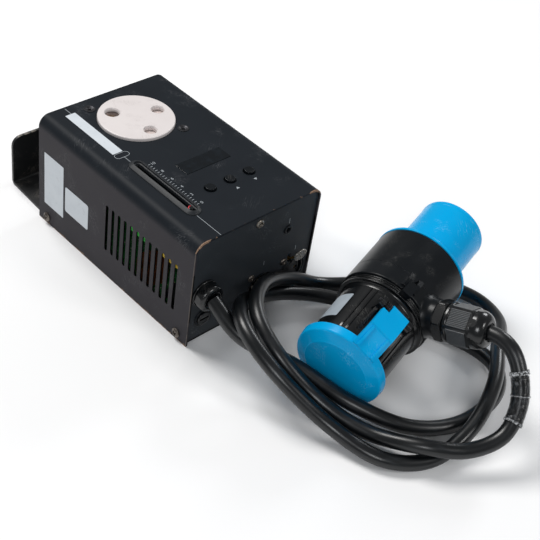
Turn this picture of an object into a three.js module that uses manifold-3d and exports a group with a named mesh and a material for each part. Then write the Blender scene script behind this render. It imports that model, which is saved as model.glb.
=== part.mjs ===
// A one-channel lighting dimmer pack: a folded steel box with a round three-pin outlet, a level
// fader and a small display on top, control sockets on its front, and a heavy cord that runs from
// the box to a through-tap connector lying on the floor beside it.
// Millimetres. X is across the box, Y along it with the sockets at the -Y end, Z up. The origin is
// the middle of the box's underside, on the floor.
import * as THREE from 'three';
import { mergeVertices } from 'three/addons/utils/BufferGeometryUtils.js';
import Module from 'manifold-3d';

const wasm = await Module();
wasm.setup();

// How finely round things are made
const coarseSides = 8;
const smallSides = 12;
const roundSides = 20;
const wideSides = 32;
const bendSteps = 5;
const hexSides = 6;
const weldDistance = 1e-4;
const quarterTurn = Math.PI / 2;
const halfTurn = Math.PI;
const fullTurn = Math.PI * 2;

// The box
const boxWidth = 107;
const boxLength = 162.5;
const boxHeight = 84;
const sheet = 1.5;
const outerBend = 8;
const halfWidth = boxWidth / 2;
const halfLength = boxLength / 2;
const innerBend = outerBend - sheet;
const innerHalf = halfWidth - sheet;
const topInside = boxHeight - sheet;
const under = (depth) => boxHeight - depth;
const fromLeft = (inwards) => inwards - halfWidth;
const fromRight = (inwards) => halfWidth - inwards;
const panelInset = 1;
const panelPlay = 0.1;
const floorHeight = 2;
const lipHeight = 10;
const panelHalf = innerHalf - panelPlay;
const panelTop = topInside - panelPlay;
const frontOuter = -halfLength + panelInset;
const frontInner = frontOuter + sheet;
const rearOuter = halfLength - panelInset;
const rearInner = rearOuter - sheet;

// Cooling slots in both sides
const slotCount = 12;
const slotFirst = 4.7;
const slotPitch = 6.375;
const slotWidth = 2.8;
const slotLow = 21.3;
const slotHigh = 58.6;
const slotTip = 1;

// Screws
const sideScrewFront = -71.3;
const sideScrewRear = 71.3;
const sideScrewHeight = 5.4;
const sideHead = { radius: 3.4, height: 1.9, edge: 2.3 };
const sideShank = { radius: 1.45, length: 5 };
const screwRoom = 0.3;
const screwLift = 0.05;
const crossSlot = { width: 0.9, length: 3.4, depth: 0.8 };
const frontScrewDepth = 7.2;
const frontScrewHeight = under(frontScrewDepth);
const frontHead = { radius: 3.1, height: 1.6, edge: 2.2 };
const tab = { half: 7, below: 4.4, gap: 0.3, thick: 2.2, foot: 6 };

// The hanging bracket behind the box
const bracketThick = 2;
const bracketFront = -40;
const bracketRear = 123.5;
const bracketInset = 3.3;
const bracketTaper = 2;
const bracketHalf = halfWidth - bracketInset;
const bracketTip = bracketHalf - bracketTaper;
const bracketTaperFrom = 84;
const bracketTop = 40;
const bracketBend = 3.5;
const bracketCorner = 7;
const bracketHole = 5.5;
const bracketHoleHeight = 22;

// The round outlet on top
const outletX = -0.5;
const outletY = 44.5;
const outletTurn = 40.5 * Math.PI / 180;
const outletBody = { radius: 25, depth: 25.7, wall: 1.6, ceilingDepth: 1.1 };
const outletBore = outletBody.radius - outletBody.wall;
const outletLow = under(outletBody.depth);
const outletCeiling = under(outletBody.ceilingDepth);
const outletFace = { beyond: 1.4, proud: 1.9, edge: 0.7 };
const outletFaceRadius = outletBody.radius + outletFace.beyond;
const outletHole = outletFaceRadius + screwRoom;
const outletFlange = { beyond: 4, thick: 3 };
const outletFlangeRadius = outletBody.radius + outletFlange.beyond;
const outletEar = { beyond: 7.5, half: 4.6, thick: 3 };
const outletEarReach = outletBody.radius + outletEar.beyond;
const earthHole = { out: 16.6, radius: 4.75, mouth: 5.4, mouthDepth: 1 };
const powerHole = { side: 12.7, down: 12, radius: 4.2, mouth: 4.7, mouthDepth: 0.7 };
const contact = { belowCeiling: 3.3, tall: 17.6 };
const contactHigh = outletCeiling - contact.belowCeiling;
const contactLow = contactHigh - contact.tall;
const earthContact = { outer: 5.3, inner: 4.45 };
const powerContact = { outer: 4.6, inner: 3.65 };
const contactRoom = 0.05;
const outletBase = { play: 0.3, beyond: 1.3, belowCeiling: 2.3, spigot: 2, spigotPlay: 0.2 };
const baseRadius = outletBore - outletBase.play;
const baseLow = outletLow - outletBase.beyond;
const baseHigh = outletCeiling - outletBase.belowCeiling;
const shutter = { play: 0.7, over: 0.3, thick: 1.3, hub: 2.3, open: 34, window: 4.2 };
const shutterRadius = outletBore - shutter.play;
const shutterLow = baseHigh + shutter.over;
const shutterSlot = { inner: 11.6, outer: 21.5, spread: 19 };
const outletScrew = { radius: 3.3, lip: 3.9, ring: 0.5, shank: 1.5, length: 6, sink: 0.9 };
const outletScrewHole = 3.4;
const outletScrewTurn = 127.2 * Math.PI / 180;

// The fader
const faderInset = 20.65;
const faderX = fromLeft(faderInset);
const faderLow = -58.5;
const faderHigh = 7.6;
const faderHalf = 5.85;
const faderProud = 2;
const faderCrown = { wide: 2.9, ends: 2.2, high: 1.7, steps: 8 };
const faderSlotHalf = 1.75;
const faderSlotLow = -55.2;
const faderSlotHigh = 3;
const faderGroove = { half: 2.7, low: -56, high: 4.4, deep: 1.3 };
const faderCutHalf = 4;
const faderCutMargin = 1.5;
const faderBody = { half: 6, depth: 14.4, ends: 1, wellHalf: 1.9, wellDepth: 10 };
const faderLever = { y: -51.6, radius: 1.55, depth: 9, proud: 1.2, foot: 1.7, footDepth: 2.5 };

// The display and the three buttons
const displayMiddleX = 6.5;
const displayMiddleY = -16.9;
const displayHalfX = 18.75;
const displayHalfY = 6.3;
const displayPlay = 0.1;
const displayProud = 0.25;
const displayThick = 1.6;
const moduleHalfX = 17.5;
const moduleHalfY = 8.5;
const moduleDepth = 14.4;
const moduleLow = under(moduleDepth);
const buttonX = [-8.9, 7.7, 24.3];
const buttonY = -42.1;
const buttonHole = 4.25;
const buttonCap = { radius: 3.5, proud: 1.5, edge: 0.5 };
const buttonFlange = { radius: 4.9, depth: 3.4, topDepth: 1.8 };
const buttonStem = { radius: 1.6, depth: 7.7 };
const buttonSwitch = { half: 3, depth: 9 };

// Boards and what stands on them
const controlBoard = { inset: 7.5, front: -72, rear: 10, depth: 16, thick: 1.6 };
const controlHalf = fromRight(controlBoard.inset);
const controlLow = under(controlBoard.depth);
const controlPillar = { inset: 11, front: -68.5, rear: 6.5, half: 2.5 };
const controlPillarX = fromRight(controlPillar.inset);
const powerBoard = { inset: 5.5, front: -52, rear: 72, low: 10, thick: 1.6 };
const powerHalf = fromRight(powerBoard.inset);
const powerPillar = { inset: 9.5, front: -48, rear: 68, half: 3 };
const powerPillarX = fromRight(powerPillar.inset);
const heatsink = { left: -18, right: 38, front: -48, rear: 8, base: 4, fin: 26, finThick: 2.4 };
const heatsinkFins = 7;
const triac = { left: 2, right: 12, front: 8.3, thick: 4.5, tall: 16 };
const chokeInset = 17.5;
const choke = { x: fromLeft(chokeInset), y: -24, radius: 11, hole: 4.5, thick: 12 };
const yellowCap = { from: 4, to: 12.5, front: -65, rear: -46, tall: 17 };
const blueCap = { from: 14, to: 18.5, front: -70, rear: -58, tall: 22 };
const terminal = { from: 4, to: 12.5, front: -30, rear: -14, tall: 17.5 };

// Sockets on the front panel
const xlrOutInset = 15.5;
const xlrOutX = fromRight(xlrOutInset);
const xlrPitch = 29;
const xlrInX = xlrOutX - xlrPitch;
const xlrHeight = 19.3;
const xlrHole = 11.6;
const xlrFlange = { half: 12.2, tall: 14.5, thick: 2.5 };
const xlrBarrel = { radius: 11.2, depth: 20, bore: 9.3, well: 13 };
const xlrFace = { radius: 8, proud: 1, hole: 1.5, ring: 4.9, depth: 8, sides: 8 };
const xlrPin = { radius: 1.2, ring: 4.4, length: 9.5, disc: 8.9, discThick: 2 };
const xlrScrewX = 9.5;
const xlrScrewZ = 12;
const xlrScrew = { radius: 2.6, height: 1.2, edge: 2, shank: 1.35, length: 3.4 };
const latchRise = 17.5;
const latch = { x: xlrOutX, z: xlrHeight + latchRise, halfX: 5.5, halfZ: 4.5, thick: 1.2,
  proud: 5.4, lean: 5 };
const latchStem = { x: latch.x - 4.4, z: latch.z - 4.8, half: 0.8, high: 0.7, bend: 0.3, into: 8 };
const latchHole = { half: 1.2, low: 2.5, high: 4 };
const latchRoom = 0.4;
const jackDepth = 24.5;
const jack = { x: 27.5, z: under(jackDepth), hole: 3.6, radius: 3.45, bore: 1.9, proud: 0.7, depth: 10 };
const jackBody = { half: 6, tall: 5, deep: 12 };
const fuseInset = 12.9;
const fuse = { x: fromLeft(fuseInset), z: 18.9, hole: 6.1, body: 5.9, flange: 6.9, lip: 0.9, end: -50 };
const fuseCap = { radius: 5, proud: 2, edge: 0.5, slotHalf: 0.7, slotDeep: 1.1, deep: 6, bore: 5.3 };
const fuseGlass = { radius: 2.5, front: -73, rear: -53 };
const glandInset = 11.5;
const gland = {
  x: fromLeft(glandInset), z: 40.5, hole: 7.9, thread: 7.8, base: 9.9, baseThick: 1.6, end: -73,
};
const glandNut = {
  radius: 9.7, start: -82.3, shoulder: -85.9, bulge: 9.1, bulgeAt: -88.2, nose: 7.3, end: -89.4,
};
const noseBore = { radius: 5.9, depth: 2.8 };
const glandLock = { across: 9.6, front: -78.6, rear: -74, bore: 8 };

// The cord, in order from the box to the through-tap: every loop lies on the floor or on the
// strand beneath it
const cordRadius = 4.9;
const cordSides = 10;
const cordSteps = 80;
const cordPoints = [
  [-42, -89, 40.3],
  [-41, -115, 30],
  [-23.5, -147.5, 20.5],
  [-12, -189, 14.5],
  [9, -219.5, 7.5],
  [39, -235, 5.5],
  [70.5, -235.5, 9.5],
  [91, -221, 9],
  [97, -194, 5.5],
  [56, -113.5, 7.5],
  [26, -92, 13.5],
  [-7.5, -89, 24],
  [-34, -105.5, 41],
  [-45, -122.5, 43],
  [-47, -149, 34.5],
  [-34, -191.5, 12],
  [-22.5, -225.5, 6],
  [0.5, -243, 5.5],
  [32.5, -245.5, 13],
  [68.5, -233.5, 19.5],
  [100.5, -212, 18],
  [127, -193, 11],
  [136.5, -167, 6.5],
  [125, -138, 5.5],
  [91, -115, 6],
  [55.5, -93.5, 7.5],
  [29.5, -86.5, 21.5],
  [-5.5, -95, 38],
  [-28, -114.5, 42.5],
  [-35.5, -139, 35.5],
  [-27.5, -173, 15.5],
  [-18, -206.5, 10],
  [-3.5, -239.5, 17],
  [16, -256.5, 16],
  [36, -265, 23],
  [51, -261, 36],
  [58.5, -251, 50.5],
  [61.3, -241, 59.3],
  [61.8, -231.5, 61.7],
  [60.9, -221.4, 60.4],
];
const sleeve = { inner: 5.35, outer: 6.1, sides: 12, firstStep: 76, lastStep: 78 };

// The through-tap connector: its own X runs along its axis towards the plug end, and its cord
// leaves along its own -Y
const tapPlace = [85.4, -147.4, 44.5];
const tapHeading = 13.15;
const tapPitch = 8.4;
const tapRoll = 18;
const tapGap = 0.3;
const body = { radius: 32.05, inner: 29, rear: -46, edge: 0.6 };
const boss = { s: -38, radius: 12.2, end: 37.3, root: 29.5, clear: 31.4 };
const notch = { s: -37.5, half: 6.3, high: 33.2, turn: 47, wide: 2.9, low: 30.6, gap: 2.05 };
const collar = { radius: 31, groove: 30.2, ring: 1.1, front: -46.3, rear: -51, spigot: 28.7 };
const spigotEnd = -40;
const barrel = { radius: 27.5, tip: 27.1, end: -97, inner: 24.3, chamfer: 26.2, taper: -94 };
const socket = { floor: -62, core: 18.6, face: -90, pinRing: 11, powerPin: 2.7, earthPin: 3.7 };
const socketBore = 26;
const socketPinTurn = 120 * Math.PI / 180;
const shroud = { flange: 32.4, flangeEnd: 2.4, radius: 23.2, inner: 20.8, end: 46, floor: 8 };
const plugPin = { ring: 11, power: 2.4, earth: 3.4, root: 5, end: 39, earthEnd: 41, tip: 0.8 };
const lid = { rear: -93.4, rim: 30.4, shoulder: -99.2, rimFront: 29.9, face: -102, flat: 21.9 };
const lidInner = { radius: 28.9, face: -97.6 };
const hinge = { s: -64.5, height: 32, turn: 41.5, knuckle: 3.4, bore: 1.5, pin: 1.2, reach: 13.6 };
const arm = { half: 8.8, thick: 3.6, bend: -83, drop: -95, foot: 28.9, footThick: 3.4 };
const armRib = { half: 0.9, out: 5.2, high: 1.1 };
const ear = { gap: 0.4, thick: 3.2, high: 35.6, root: 25.6, front: -68.5, rear: -60.8 };
const spring = { wire: 0.45, coil: 2.5, first: 5, pitch: 1.35, curls: 2.5, leg: 4.2 };
const springCurlSteps = 8;
const springSides = 5;
const armNotch = { inner: 4.1, rear: -69.4 };
const tapLock = { across: 12.3, start: 37.6, end: 44, edge: 0.7 };
const tapNut = { thread: 8.6, start: 44.3, radius: 13.2, flats: 12.2, shoulder: 62.9 };
const tapNose = { radius: 12, end: 71.6, tip: 7.4 };

// Looks
const look = (color, roughness, metalness) => (
  new THREE.MeshStandardMaterial({ color, roughness, metalness })
);
const blackPaint = look('#24282d', 0.5, 0.3);
const darkPanel = look('#17191d', 0.5, 0.3);
const blackPlastic = look('#1b1c1f', 0.4, 0);
const glossBlack = look('#101215', 0.22, 0);
const greyPlastic = look('#4a4b4e', 0.5, 0);
const whitePlastic = look('#e3dcdb', 0.35, 0);
const bluePlastic = look('#009bdc', 0.25, 0);
const glass = look('#0d151c', 0.1, 0);
const nickel = look('#a9a59d', 0.35, 0.9);
const blackSteel = look('#1e1f21', 0.45, 0.6);
const brass = look('#b98f46', 0.35, 0.9);
const rubber = look('#15171a', 0.45, 0);
const greenBoard = look('#1f6b35', 0.5, 0);
const aluminium = look('#a5a8ab', 0.4, 0.9);
const copper = look('#8a4d28', 0.4, 0.6);
const yellowCase = look('#d9b21f', 0.4, 0);
const blueCase = look('#2363ad', 0.4, 0);
const greenCase = look('#1fa22c', 0.4, 0);
const clearSleeve = look('#3a3d40', 0.15, 0);

const dimmer = new THREE.Group();
const tap = new THREE.Group();
tap.position.set(...tapPlace);
tap.rotation.order = 'ZYX';
tap.rotation.set(
  -THREE.MathUtils.degToRad(tapRoll),
  -THREE.MathUtils.degToRad(tapPitch),
  THREE.MathUtils.degToRad(tapHeading),
);
dimmer.add(tap);

function addPart(name, geometry, material, group = dimmer) {
  const mesh = new THREE.Mesh(geometry, material);
  mesh.name = name;
  group.add(mesh);
  return mesh;
}

// A closed solid from any geometry, with its faces turned outwards
function solid(geometry) {
  const bare = geometry.clone();
  bare.deleteAttribute('normal');
  bare.deleteAttribute('uv');
  const merged = mergeVertices(bare, weldDistance);
  const order = merged.index.array;
  const corners = [];
  for (let i = 0; i < order.length; i += 3) {
    const [a, b, c] = [order[i], order[i + 1], order[i + 2]];
    if (a !== b && b !== c && c !== a) corners.push(a, b, c);
  }
  const make = (triangles) => new wasm.Manifold(new wasm.Mesh({
    numProp: 3,
    vertProperties: new Float32Array(merged.attributes.position.array),
    triVerts: new Uint32Array(triangles),
  }));
  const result = make(corners);
  if (result.volume() > 0) return result;
  const turned = [];
  for (let i = 0; i < corners.length; i += 3) {
    turned.push(corners[i], corners[i + 2], corners[i + 1]);
  }
  return make(turned);
}

// The geometry of a finished solid
function shapeOf(item) {
  const mesh = item.getMesh();
  const geometry = new THREE.BufferGeometry();
  geometry.setAttribute('position', new THREE.BufferAttribute(mesh.vertProperties, 3));
  geometry.setIndex(new THREE.BufferAttribute(mesh.triVerts, 1));
  geometry.computeVertexNormals();
  return geometry;
}

const join = (first, ...others) => others.reduce((sum, item) => sum.add(item), first);
const cut = (first, ...others) => others.reduce((rest, item) => rest.subtract(item), first);

// A box between two corners
function block(x0, x1, y0, y1, z0, z1) {
  const geometry = new THREE.BoxGeometry(x1 - x0, y1 - y0, z1 - z0);
  geometry.translate((x0 + x1) / 2, (y0 + y1) / 2, (z0 + z1) / 2);
  return solid(geometry);
}

// A shape turned about Z from [radius, height] pairs that start and end on the axis
function turned(profile, sides, x = 0, y = 0) {
  const points = profile.map(([radius, height]) => new THREE.Vector2(radius, height));
  const geometry = new THREE.LatheGeometry(points, sides);
  geometry.rotateX(quarterTurn);
  geometry.translate(x, y, 0);
  return solid(geometry);
}

const post = (x, y, radius, z0, z1, sides = roundSides) => (
  turned([[0, z0], [radius, z0], [radius, z1], [0, z1]], sides, x, y)
);

// A shape turned about an axis along Y, for things on the front panel
function turnedFront(profile, sides, x, z) {
  const points = profile.map(([radius, depth]) => new THREE.Vector2(radius, depth));
  const geometry = new THREE.LatheGeometry(points, sides);
  geometry.translate(x, 0, z);
  return solid(geometry);
}

const rodFront = (x, z, radius, y0, y1, sides = roundSides) => (
  turnedFront([[0, y0], [radius, y0], [radius, y1], [0, y1]], sides, x, z)
);

// A shape turned about the tap's long axis
function turnedTap(profile, sides, y = 0, z = 0) {
  const points = profile.map(([radius, s]) => new THREE.Vector2(radius, s));
  const geometry = new THREE.LatheGeometry(points, sides);
  geometry.rotateZ(-quarterTurn);
  geometry.translate(0, y, z);
  return solid(geometry);
}

const rodTap = (radius, s0, s1, sides = roundSides, y = 0, z = 0) => (
  turnedTap([[0, s0], [radius, s0], [radius, s1], [0, s1]], sides, y, z)
);

// A shape turned about the tap's cord entry, measured outwards from the tap's axis
function turnedEntry(profile, sides) {
  const points = profile.map(([radius, out]) => new THREE.Vector2(radius, -out));
  const geometry = new THREE.LatheGeometry(points, sides);
  geometry.translate(boss.s, 0, 0);
  return solid(geometry);
}

// A flat outline pushed out along Z
function prism(outline, depth) {
  const shape = new THREE.Shape(outline.map(([x, y]) => new THREE.Vector2(x, y)));
  return new THREE.ExtrudeGeometry(shape, { depth, bevelEnabled: false });
}

function arc(x, y, radius, start, end, steps) {
  const points = [];
  for (let i = 0; i <= steps; i += 1) {
    const angle = start + (end - start) * i / steps;
    points.push([x + radius * Math.cos(angle), y + radius * Math.sin(angle)]);
  }
  return points;
}

// An outline in X and Z pushed along Y from y0 to y1
function alongY(outline, y0, y1) {
  const geometry = prism(outline, y1 - y0);
  geometry.rotateX(quarterTurn);
  geometry.translate(0, y1, 0);
  return solid(geometry);
}

// An outline in X and Y pushed up from z0 to z1
function upwards(outline, z0, z1) {
  const geometry = prism(outline, z1 - z0);
  geometry.translate(0, 0, z0);
  return solid(geometry);
}

// An outline in Y and Z pushed along X from x0 to x1
function alongX(outline, x0, x1) {
  const geometry = prism(outline, x1 - x0);
  geometry.rotateX(quarterTurn);
  geometry.rotateZ(quarterTurn);
  geometry.translate(x0, 0, 0);
  return solid(geometry);
}

// A long rounded outline in X and Y
function stadium(x, low, high, half, steps) {
  return [
    ...arc(x, high - half, half, 0, halfTurn, steps),
    ...arc(x, low + half, half, halfTurn, fullTurn, steps),
  ];
}

// A six-sided outline, by half its width across flats
function hexagon(across) {
  const step = fullTurn / hexSides;
  const corner = across / Math.cos(step / 2);
  return arc(0, 0, corner, step / 2, fullTurn - step / 2, hexSides - 1);
}

// The folded cover: top and two sides
function coverOutline(half, top, bend) {
  return [
    [-half, 0],
    ...arc(-half + bend, top - bend, bend, halfTurn, quarterTurn, bendSteps),
    ...arc(half - bend, top - bend, bend, quarterTurn, 0, bendSteps),
    [half, 0],
  ];
}

const outletPoint = (across, out) => [
  outletX + across * Math.cos(outletTurn) - out * Math.sin(outletTurn),
  outletY + across * Math.sin(outletTurn) + out * Math.cos(outletTurn),
];
const earthAt = outletPoint(0, earthHole.out);
const liveAt = outletPoint(powerHole.side, -powerHole.down);
const neutralAt = outletPoint(-powerHole.side, -powerHole.down);
const outletScrewAt = [1, -1].map((side) => [
  outletX + side * outletEarReach * Math.cos(outletScrewTurn),
  outletY + side * outletEarReach * Math.sin(outletScrewTurn),
]);

function makeCover() {
  const outer = coverOutline(halfWidth, boxHeight, outerBend);
  const inner = coverOutline(innerHalf, topInside, innerBend).reverse();
  let cover = alongY([...outer, ...inner], -halfLength, halfLength);
  const slots = [];
  for (let i = 0; i < slotCount; i += 1) {
    const y = slotFirst - i * slotPitch;
    const half = slotWidth / 2;
    slots.push(alongX([
      [y - half, slotLow + slotTip],
      [y, slotLow],
      [y + half, slotLow + slotTip],
      [y + half, slotHigh - slotTip],
      [y, slotHigh],
      [y - half, slotHigh - slotTip],
    ], -boxWidth, boxWidth));
  }
  cover = cut(cover, ...slots);
  const tabTop = topInside + sheet / 2;
  const tabFront = frontInner + tab.gap;
  cover = join(cover, block(
    -tab.half, tab.half, tabFront, tabFront + tab.thick,
    frontScrewHeight - tab.below, tabTop,
  ));
  cover = cut(cover, rodFront(0, frontScrewHeight, sideShank.radius + screwRoom,
    frontInner, frontInner + tab.foot, smallSides));
  cover = cut(cover, post(outletX, outletY, outletHole, topInside - sheet, boxHeight + sheet,
    wideSides));
  outletScrewAt.forEach(([x, y]) => {
    cover = cut(cover, post(x, y, outletScrewHole, topInside - sheet, boxHeight + sheet));
  });
  cover = cut(cover, upwards(stadium(faderX, faderLow + faderCutMargin,
    faderHigh - faderCutMargin, faderCutHalf, bendSteps), topInside - sheet, boxHeight + sheet));
  cover = cut(cover, block(
    displayMiddleX - displayHalfX, displayMiddleX + displayHalfX,
    displayMiddleY - displayHalfY, displayMiddleY + displayHalfY,
    topInside - sheet, boxHeight + sheet,
  ));
  buttonX.forEach((x) => {
    cover = cut(cover, post(x, buttonY, buttonHole, topInside - sheet, boxHeight + sheet));
  });
  [sideScrewFront, sideScrewRear].forEach((y) => {
    cover = cut(cover, sideRod(y, sideShank.radius + screwRoom, -boxWidth, boxWidth));
  });
  return cover;
}

// A rod across the box at a side screw
function sideRod(y, radius, x0, x1) {
  const geometry = new THREE.CylinderGeometry(radius, radius, x1 - x0, smallSides);
  geometry.rotateZ(quarterTurn);
  geometry.translate((x0 + x1) / 2, y, sideScrewHeight);
  return solid(geometry);
}

function panelOutline() {
  const bend = innerBend - panelPlay;
  return [
    [-panelHalf, floorHeight],
    ...arc(-panelHalf + bend, panelTop - bend, bend, halfTurn, quarterTurn, bendSteps),
    ...arc(panelHalf - bend, panelTop - bend, bend, quarterTurn, 0, bendSteps),
    [panelHalf, floorHeight],
  ].reverse();
}

// The folded chassis: front, floor and back, with a lip along each side
function makeChassis() {
  const front = alongY(panelOutline(), frontOuter, frontInner);
  const rear = alongY(panelOutline(), rearInner, rearOuter);
  const floor = block(-panelHalf, panelHalf, frontOuter, rearOuter,
    floorHeight, floorHeight + sheet);
  const lips = [-1, 1].map((side) => {
    const edges = [side * panelHalf, side * (panelHalf - sheet)].sort((a, b) => a - b);
    return block(...edges, frontInner - sheet / 2, rearInner + sheet / 2,
      floorHeight, floorHeight + lipHeight);
  });
  let chassis = join(front, rear, floor, ...lips);
  const through = [frontOuter - sheet, frontInner + sheet];
  const holes = [
    rodFront(xlrOutX, xlrHeight, xlrHole, ...through),
    rodFront(xlrInX, xlrHeight, xlrHole, ...through),
    rodFront(jack.x, jack.z, jack.hole, ...through, smallSides),
    rodFront(fuse.x, fuse.z, fuse.hole, ...through),
    rodFront(gland.x, gland.z, gland.hole, ...through),
    rodFront(0, frontScrewHeight, sideShank.radius + screwRoom, ...through, smallSides),
    block(
      latchStem.x - latchHole.half, latchStem.x + latchHole.half,
      ...through, latchStem.z - latchHole.low, latchStem.z + latchHole.high,
    ),
  ];
  xlrScrewPlaces.forEach(([x, z]) => {
    holes.push(rodFront(x, z, xlrScrew.shank + screwRoom, ...through, coarseSides));
  });
  chassis = cut(chassis, ...holes);
  [sideScrewFront, sideScrewRear].forEach((y) => {
    chassis = cut(chassis, sideRod(y, sideShank.radius + screwRoom, -boxWidth, boxWidth));
  });
  return chassis;
}

const xlrScrewPlaces = [xlrOutX, xlrInX].flatMap((x) => [
  [x - xlrScrewX, xlrHeight + xlrScrewZ],
  [x + xlrScrewX, xlrHeight - xlrScrewZ],
]);

// A pan-head screw along Z, head up, with its seat at height zero
function panScrew(head, shankRadius, shankLength) {
  const cross = crossSlot;
  const top = head.height;
  let screw = turned([
    [0, -shankLength],
    [shankRadius, -shankLength],
    [shankRadius, screwLift],
    [head.radius, screwLift],
    [head.radius, top / 2],
    [head.edge, top],
    [0, top],
  ], smallSides);
  const half = cross.width / 2;
  const reach = cross.length / 2;
  screw = cut(screw, block(-half, half, -reach, reach, top - cross.depth, top + cross.depth));
  screw = cut(screw, block(-reach, reach, -half, half, top - cross.depth, top + cross.depth));
  return shapeOf(screw);
}

addPart('top_cover', shapeOf(makeCover()), blackPaint);
addPart('chassis', shapeOf(makeChassis()), darkPanel);

// The bracket: a flat strap under the floor, turned up behind the box
function makeBracket() {
  const bend = bracketBend;
  const inside = bend - bracketThick;
  const strip = alongX([
    [bracketFront, 0],
    ...arc(bracketRear - bend, bend, bend, -quarterTurn, 0, bendSteps),
    [bracketRear, bracketTop],
    [bracketRear - bracketThick, bracketTop],
    ...arc(bracketRear - bend, bend, inside, 0, -quarterTurn, bendSteps),
    [bracketFront, bracketThick],
  ], -bracketHalf, bracketHalf);
  const plan = upwards([
    [-bracketHalf, bracketFront],
    [bracketHalf, bracketFront],
    [bracketHalf, bracketTaperFrom],
    [bracketTip, bracketRear],
    [-bracketTip, bracketRear],
    [-bracketHalf, bracketTaperFrom],
  ], 0, bracketTop);
  const corner = bracketCorner;
  const face = alongY([
    [-bracketHalf, 0],
    [-bracketHalf, bracketThick],
    [-bracketTip, bracketBend],
    ...arc(-bracketTip + corner, bracketTop - corner, corner, halfTurn, quarterTurn, bendSteps),
    ...arc(bracketTip - corner, bracketTop - corner, corner, quarterTurn, 0, bendSteps),
    [bracketTip, bracketBend],
    [bracketHalf, bracketThick],
    [bracketHalf, 0],
  ].reverse(), bracketFront, bracketRear);
  const hole = rodFront(0, bracketHoleHeight, bracketHole, bracketRear - bend, bracketRear + bend);
  return cut(strip.intersect(plan).intersect(face), hole);
}
addPart('hanging_bracket', shapeOf(makeBracket()), blackSteel);

// Side screws, two on each side, through the cover into the chassis lips
[['left', -1], ['right', 1]].forEach(([sideName, side]) => {
  [['front', sideScrewFront], ['rear', sideScrewRear]].forEach(([endName, y]) => {
    const screw = addPart(`cover_screw_${sideName}_${endName}`,
      panScrew(sideHead, sideShank.radius, sideShank.length), nickel);
    screw.position.set(side * halfWidth, y, sideScrewHeight);
    screw.rotation.y = side * quarterTurn;
  });
});
const frontScrew = addPart('front_screw',
  panScrew(frontHead, sideShank.radius, sideShank.length), nickel);
frontScrew.position.set(0, frontOuter, frontScrewHeight);
frontScrew.rotation.x = quarterTurn;

// The outlet moulding: a round face above the cover, a flange and two ears under it
function makeOutletBody() {
  const top = boxHeight + outletFace.proud;
  const flangeLow = topInside - outletFlange.thick;
  let item = turned([
    [0, outletLow],
    [outletBody.radius, outletLow],
    [outletBody.radius, flangeLow],
    [outletFlangeRadius, flangeLow],
    [outletFlangeRadius, topInside],
    [outletFaceRadius, topInside],
    [outletFaceRadius, top - outletFace.edge],
    [outletFaceRadius - outletFace.edge, top],
    [0, top],
  ], wideSides, outletX, outletY);
  outletScrewAt.forEach(([x, y]) => {
    item = join(item, post(x, y, outletEar.half, topInside - outletEar.thick, topInside));
  });
  item = cut(item, post(outletX, outletY, outletBore,
    outletLow - sheet, outletCeiling, wideSides));
  const opening = (at, hole) => turned([
    [0, outletLow],
    [hole.radius, outletLow],
    [hole.radius, top - hole.mouthDepth],
    [hole.mouth, top],
    [hole.mouth, top + sheet],
    [0, top + sheet],
  ], roundSides, ...at);
  item = cut(item, opening(earthAt, earthHole));
  item = cut(item, opening(liveAt, powerHole), opening(neutralAt, powerHole));
  outletScrewAt.forEach(([x, y]) => {
    item = cut(item, post(x, y, outletScrew.shank + screwRoom,
      outletLow, boxHeight, coarseSides));
  });
  return item;
}

function makeOutletBase() {
  let item = turned([
    [0, baseLow],
    [baseRadius, baseLow],
    [baseRadius, baseHigh],
    [outletBase.spigot, baseHigh],
    [outletBase.spigot, outletCeiling - outletBase.spigotPlay],
    [0, outletCeiling - outletBase.spigotPlay],
  ], wideSides, outletX, outletY);
  const well = (at, tube) => post(...at, tube.outer + contactRoom,
    contactLow - contactRoom, baseHigh + sheet);
  item = cut(item, well(earthAt, earthContact));
  return cut(item, well(liveAt, powerContact), well(neutralAt, powerContact));
}

// The round shutter turns about the middle of the outlet and clears the two small holes
function makeShutter() {
  const high = shutterLow + shutter.thick;
  let item = post(0, 0, shutterRadius, shutterLow, high, wideSides);
  item = cut(item, post(0, 0, shutter.hub, shutterLow - sheet, high + sheet, smallSides));
  const openTurn = THREE.MathUtils.degToRad(shutter.open);
  const reach = Math.hypot(powerHole.side, powerHole.down);
  [powerHole.side, -powerHole.side].forEach((across) => {
    const angle = Math.atan2(-powerHole.down, across) - openTurn;
    item = cut(item, post(reach * Math.cos(angle), reach * Math.sin(angle), shutter.window,
      shutterLow - sheet, high + sheet));
  });
  const spread = THREE.MathUtils.degToRad(shutterSlot.spread);
  const from = quarterTurn - openTurn - spread;
  const to = quarterTurn + spread;
  item = cut(item, upwards([
    ...arc(0, 0, shutterSlot.outer, from, to, bendSteps),
    ...arc(0, 0, shutterSlot.inner, to, from, bendSteps),
  ], shutterLow - sheet, high + sheet));
  return item;
}
addPart('outlet_body', shapeOf(makeOutletBody()), whitePlastic);
addPart('outlet_base', shapeOf(makeOutletBase()), whitePlastic);
const shutterMesh = addPart('outlet_shutter', shapeOf(makeShutter()), whitePlastic);
shutterMesh.position.set(outletX, outletY, 0);
shutterMesh.rotation.z = outletTurn;

function makeContact([x, y], size) {
  const tube = post(x, y, size.outer, contactLow, contactHigh);
  return cut(tube, post(x, y, size.inner, contactLow + sheet, contactHigh + sheet));
}
addPart('outlet_contact_earth', shapeOf(makeContact(earthAt, earthContact)), brass);
addPart('outlet_contact_live', shapeOf(makeContact(liveAt, powerContact)), brass);
addPart('outlet_contact_neutral', shapeOf(makeContact(neutralAt, powerContact)), brass);

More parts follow.
